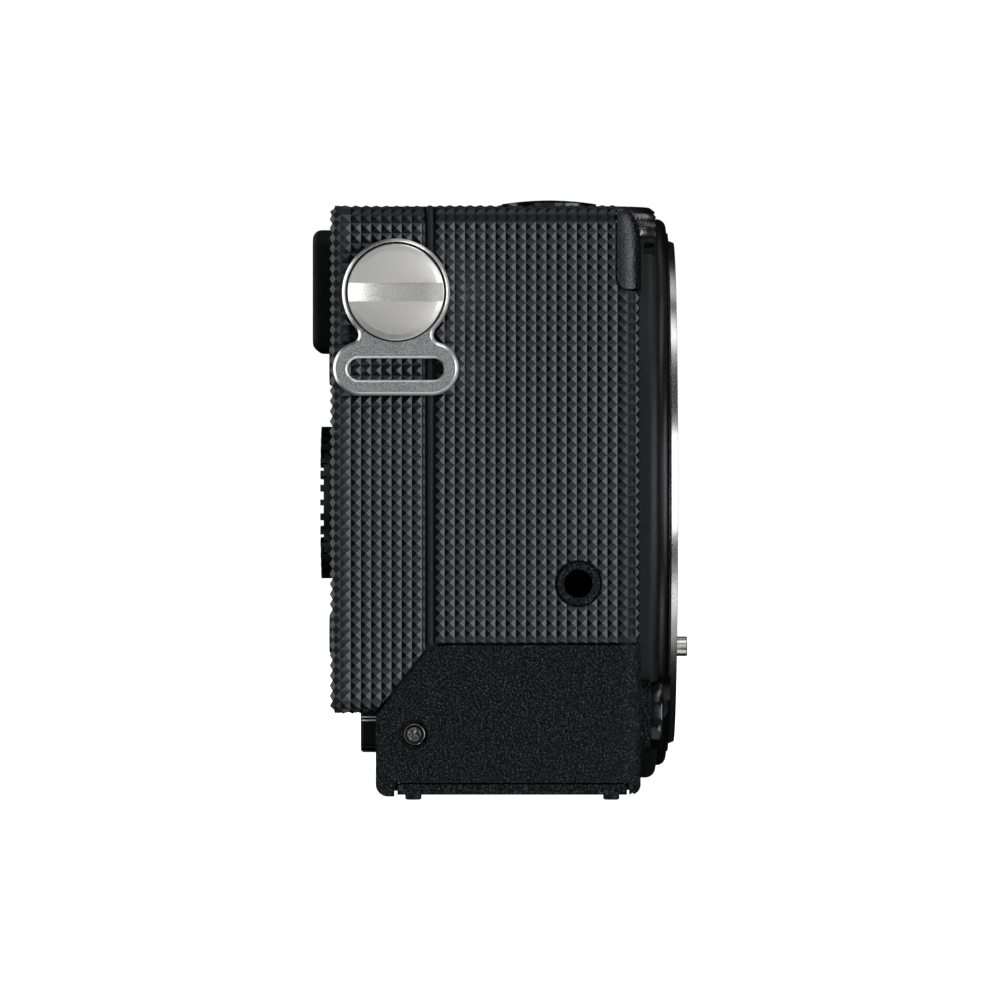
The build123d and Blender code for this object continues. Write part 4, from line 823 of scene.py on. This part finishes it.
def knurl_band(name, centre, r_tip, r_val, z0, z1, teeth, twist=0.0, slant=0.0):
    """Row of small pyramids. slant turns the upper edge of the row on by that share of a tooth."""
    verts, faces = [], []
    n = teeth
    for r in (r_val, r_val - 0.5):
        for z, s in ((z0, 0.0), (z1, slant)):
            verts += [(centre[0] + r * cos(2 * pi * (i + s) / n), centre[1] + r * sin(2 * pi * (i + s) / n), z) for i in range(n)]
    zm = (z0 + z1) / 2
    for i in range(n):
        j = (i + 1) % n
        a = 2 * pi * (i + 0.5 + twist + slant / 2) / n
        verts.append((centre[0] + r_tip * cos(a), centre[1] + r_tip * sin(a), zm))
        t = len(verts) - 1
        faces += [[i, j, t], [j, n + j, t], [n + j, n + i, t], [n + i, i, t]]
        faces += [[2 * n + i, 3 * n + i, 3 * n + j, 2 * n + j], [i, 2 * n + i, 2 * n + j, j], [n + i, n + j, 3 * n + j, 3 * n + i]]
    return raw(name, verts, faces)


core = lathe("front_dial_core", "Z", FD, [
    (0, 64.0), (1.5, 64.0), (1.5, 68.2), (7.9, 68.2), (8.05, 68.3), (8.05, 71.2), (8.32, 71.3), (8.32, 71.45), (7.75, 71.9), (7.6, 71.97),
    (6.9, 71.97), (6.8, 71.9), (6.6, 71.82), (0, 71.80),
], 180)
done(core, "black_metal", "front_dial", ["front_dial"], 30)
for k, (a, b) in enumerate(((68.24, 69.22), (69.28, 70.26), (70.32, 71.26))):
    band = knurl_band(f"front_dial_knurl_{k}", FD, R_TIP, R_VAL, a, b, TEETH, 0.3 * k, (0.85, 0.85, -0.85)[k])
    done(band, "knurled_metal", "front_dial", [])

# ---------------------------------------------------------------------------
# Active area of the display, a hair proud of the glass round it
# ---------------------------------------------------------------------------
ob = prism("Y", rounded([(-26.4, 8.6), (40.4, 8.6), (40.4, 50.4), (-26.4, 50.4)], [0.5, 0.5, 0.5, 0.5], 6), 18.4, 18.515)
done(ob, "screen_area", NODE_BODY["monitor_glass"], [], 40)

# ---------------------------------------------------------------------------
# Lens release button, slightly barrelled, with a dished face
# ---------------------------------------------------------------------------
ob = lathe("release_button", "Y", (-25.0, 9.05), [
    (0, -19.36), (2.6, -19.40), (3.7, -19.48), (4.0, -19.5), (4.18, -19.47), (4.34, -19.37), (4.45, -19.2), (4.51, -18.98),
    (4.525, -18.65), (4.51, -18.3), (4.47, -17.9), (4.42, -17.4), (4.40, -16.4), (2.0, -16.4), (2.0, -15.2), (0, -15.2),
], 192)
done(ob, "gloss_black", NODE_BODY["lens_release_button"], ["lens_release_button"], 40)

# ---------------------------------------------------------------------------
# Side screws: domed rim, dished face, recess with four lobes
# ---------------------------------------------------------------------------
def lobed_screw(name, x0, s, yc, zc, turn):
    """Screw head facing -X for s = 1; a height field on rings, closed by a shank."""
    n, verts, faces = 120, [], []
    radii = list(np.linspace(0.04, 1.0, 25)) + [1.06, 1.12, 1.18, 1.24, 1.30, 1.35, 1.39, 1.42]

    def depth(r, t):
        edge = 0.60 + 0.15 * cos(4 * (t - turn))
        k = max(0.0, min(1.0, (edge + 0.05 - r) / 0.10))
        k = k * k * (3 - 2 * k)
        dish = 0.05 * max(0.0, 1 - (r / 1.08) ** 6)
        rim = 0.16 * max(0.0, (r - 1.22) / 0.20) ** 2
        return dish + rim + k * (0.26 + 0.04 * cos(4 * (t - turn)) * min(1, r / 0.4))

    for r in radii:
        for i in range(n):
            t = 2 * pi * i / n
            verts.append((x0 + s * depth(r, t), yc + r * cos(t), zc + r * sin(t)))
    for r, a in ((1.42, 0.42), (0.8, 0.42), (0.8, 2.0)):
        for i in range(n):
            t = 2 * pi * i / n
            verts.append((x0 + s * a, yc + r * cos(t), zc + r * sin(t)))
    rows = len(radii) + 3
    for k in range(rows - 1):
        for i in range(n):
            j = (i + 1) % n
            faces.append([k * n + i, k * n + j, (k + 1) * n + j, (k + 1) * n + i])
    faces += [list(range(n)), list(range((rows - 1) * n, rows * n))]
    return raw(name, verts, faces)


for name, x0, s, turn, hidden in (("side_screw_grip", -61.74, 1, 0.5, ["side_screws"]), ("side_screw_far", 51.74, -1, 0.9, [])):
    ob = done(lobed_screw(name, x0, s, 11.5, 7.36, turn), "screw_face", "root", hidden, 60)
    ob.data.materials.append(M["dark_chrome"])
    for p in ob.data.polygons:
        r = hypot(p.center.y * 1000 - 11.5, p.center.z * 1000 - 7.36)
        if r < 0.84 or 1.20 < r < 1.40:
            p.material_index = 1
    rows = [(1.46, 0.16), (1.57, 0.06), (1.62, -0.20), (1.68, -0.262), (1.80, -0.268), (1.89, -0.24), (1.94, -0.18), (1.94, 0.30), (1.46, 0.30)]
    done(lathe(name.replace("side_screw", "screw_seat"), "X", (11.5, 7.36), [(r, x0 + s * a) for r, a in rows], 96), "monitor_black", "root", [], 40)

# ---------------------------------------------------------------------------
# Painted reflections: bright metal bars on the end of the monitor and along its lower edge, standing in for reflections
# off its glossy black edges
# ---------------------------------------------------------------------------


def reflection_bar(name, y0, y1, z0, z1, drop, material):
    """Thin rounded bar across the end of the monitor, in bright metal for a painted reflection. drop lowers its rear
    end.
    """
    sec = rounded([(0.0, z0), (0.0, z1), (0.5, z1), (0.5, z0)], [0.05, 0.05, 0, 0], 5)
    verts, faces, n = [], [], len(sec)
    for y, d in ((y0, 0.0), (y0 + 0.5 * (y1 - y0), 0.45 * drop), (y1 - 0.08, 0.95 * drop), (y1, drop)):
        shrink = 0.06 if y == y1 else 0.0
        verts += [(-30.05 + x + shrink, y, z - d) for x, z in sec]
    for k in range(3):
        for i in range(n):
            j = (i + 1) % n
            faces.append([k * n + i, k * n + j, (k + 1) * n + j, (k + 1) * n + i])
    faces += [list(range(n)), list(range(3 * n, 4 * n))]
    ob = raw(name, verts, faces)
    return done(ob, material, NODE_BODY["monitor_housing"], [], 40)


# painted reflections: bright bars for the lines reflected off the monitor's glossy end and its lower edge
reflection_bar("monitor_reflection_upper", 16.42, 18.46, 8.68, 8.86, 0.02, "reflection_steel")
reflection_bar("monitor_reflection_lower", 16.42, 18.46, 8.27, 8.48, 0.06, "reflection_steel")
reflection_bar("monitor_lower_edge_reflection", 16.42, 18.30, 4.30, 4.50, 0.0, "bronze_reflection")

# ---------------------------------------------------------------------------
# Accessory shoe contacts
# ---------------------------------------------------------------------------
for k, (x, y, r) in enumerate(((6.0, 5.5, 1.35), (2.6, 0.6, 0.9), (6.0, -0.6, 0.9), (9.4, 0.6, 0.9), (10.6, 4.4, 0.9))):
    ob = lathe(f"shoe_contact_{k}", "Z", (x, y), [(0, 71.15), (r, 71.15), (r, 71.30), (r - 0.12, 71.36), (0, 71.38)], 48)
    done(ob, "gold_contact", "root", [], 40)

# ---------------------------------------------------------------------------
# Camera
# ---------------------------------------------------------------------------
cam_data = bpy.data.cameras.new("photo_camera")
cam_data.sensor_width = 36.0
cam_data.lens = 336.53
cam_data.clip_start, cam_data.clip_end = 0.05, 50.0
cam = bpy.data.objects.new("photo_camera", cam_data)
COLL.objects.link(cam)
cam.location = (-1.202, 0.00104, 0.03595)
cam.rotation_mode = "QUATERNION"
cam.rotation_quaternion = Vector((1, 0, 0)).to_track_quat("-Z", "Y")
SCENE.camera = cam

# ---------------------------------------------------------------------------
# Floor, world and lights
# ---------------------------------------------------------------------------
SCENE.view_settings.view_transform = "Standard"
SCENE.view_settings.look = "None"
SCENE.view_settings.exposure = 0.0
SCENE.view_settings.gamma = 1.0

me = bpy.data.meshes.new("floor")
me.from_pydata([(-8, -8, -0.00079), (8, -8, -0.00079), (8, 8, -0.00079), (-8, 8, -0.00079)], [], [[0, 1, 2, 3]])
floor = bpy.data.objects.new("floor", me)
COLL.objects.link(floor)
fm = Mat("floor_paper").set(Roughness=0.9, Emission_Strength=1.15, Emission_Color=(1.0, 1.0, 1.0), Specular_IOR_Level=0.0)
fm.colour(fm.noise(3.0, 2.0), (0.80, 0.80, 0.80), (0.84, 0.84, 0.84))
me.materials.append(fm.m)
floor.visible_glossy = False
floor.visible_diffuse = False
floor.visible_transmission = False
floor.visible_shadow = False

world = bpy.data.worlds.new("studio")
SCENE.world = world
world.use_nodes = True
nt = world.node_tree
nt.nodes.clear()
wo = nt.nodes.new("ShaderNodeOutputWorld")
mix = nt.nodes.new("ShaderNodeMixShader")
lp = nt.nodes.new("ShaderNodeLightPath")
white = nt.nodes.new("ShaderNodeBackground")
dim = nt.nodes.new("ShaderNodeBackground")
white.inputs["Color"].default_value = (1.0, 1.0, 1.0, 1)
white.inputs["Strength"].default_value = 1.05
dim.inputs["Color"].default_value = (0.94, 0.97, 1.0, 1)
dim.inputs["Strength"].default_value = 0.006
nt.links.new(lp.outputs["Is Camera Ray"], mix.inputs[0])
nt.links.new(dim.outputs[0], mix.inputs[1])
nt.links.new(white.outputs[0], mix.inputs[2])
nt.links.new(mix.outputs[0], wo.inputs[0])


def softbox(name, az, el, dist, w, h, radiance, colour=(1, 1, 1), target=(0.0, 0.0, 0.037), spread=180):
    """Area light seen from the object at azimuth az (0 towards -X, 90 towards -Y) and elevation el. radiance is what a mirror would show."""
    ld = bpy.data.lights.new(name, "AREA")
    ld.shape = "RECTANGLE"
    ld.size, ld.size_y = w, h
    ld.energy = radiance * pi * w * h / 4 * 4
    ld.color = colour
    ld.spread = radians(spread)
    ob = bpy.data.objects.new(name, ld)
    COLL.objects.link(ob)
    a, e = radians(az), radians(el)
    d = Vector((-cos(a) * cos(e), -sin(a) * cos(e), sin(e)))
    ob.location = Vector(target) + d * dist
    ob.rotation_mode = "QUATERNION"
    ob.rotation_quaternion = (-d).to_track_quat("-Z", "Y")
    ob.visible_camera = False
    return ob


def panel(name, az, el, wide, high, radiance, colour=(1, 1, 1), dist=2.0):
    """Softbox given by the angles that it covers, seen from the object."""
    w = 2 * dist * cos(radians(el)) * tan(radians(min(wide, 150) / 2))
    h = 2 * dist * tan(radians(high / 2))
    return softbox(name, az, el, dist, max(w, 0.2), h, radiance, colour)


panel("key", 58, 4, 36, 38, 4.2)
panel("key_inner", 24.5, 3, 18, 30, 2.1)
panel("front", 2, 16, 34, 26, 0.56)
panel("front_low", 2, -6, 34, 16, 0.48)
panel("front_gap", 5, -26, 60, 20, 0.13)
panel("table_card", 5, -66, 70, 42, 0.70)
panel("ring_card", 29, -46, 24, 16, 4.50)
panel("table_card_right", 62, -42, 36, 34, 0.55)
panel("top_front", 2, 52, 54, 26, 1.15)
panel("ring_top", 55, 66, 76, 18, 2.40)
panel("ring_top_back", 145, 62, 50, 18, 0.80)
panel("top_over", 2, 76, 120, 14, 0.15)
panel("top_edge", 180, 81, 60, 12, 0.70)
panel("left", -26, 4, 18, 36, 0.80)
panel("left_side", -98, 4, 26, 60, 2.0)
panel("left_top", -55, 48, 50, 34, 0.26)
panel("left_low", -50, -45, 50, 34, 0.30)
panel("lens_side_fill", 112, 38, 50, 30, 0.25)
panel("rear_fill", -135, 26, 44, 30, 0.90)
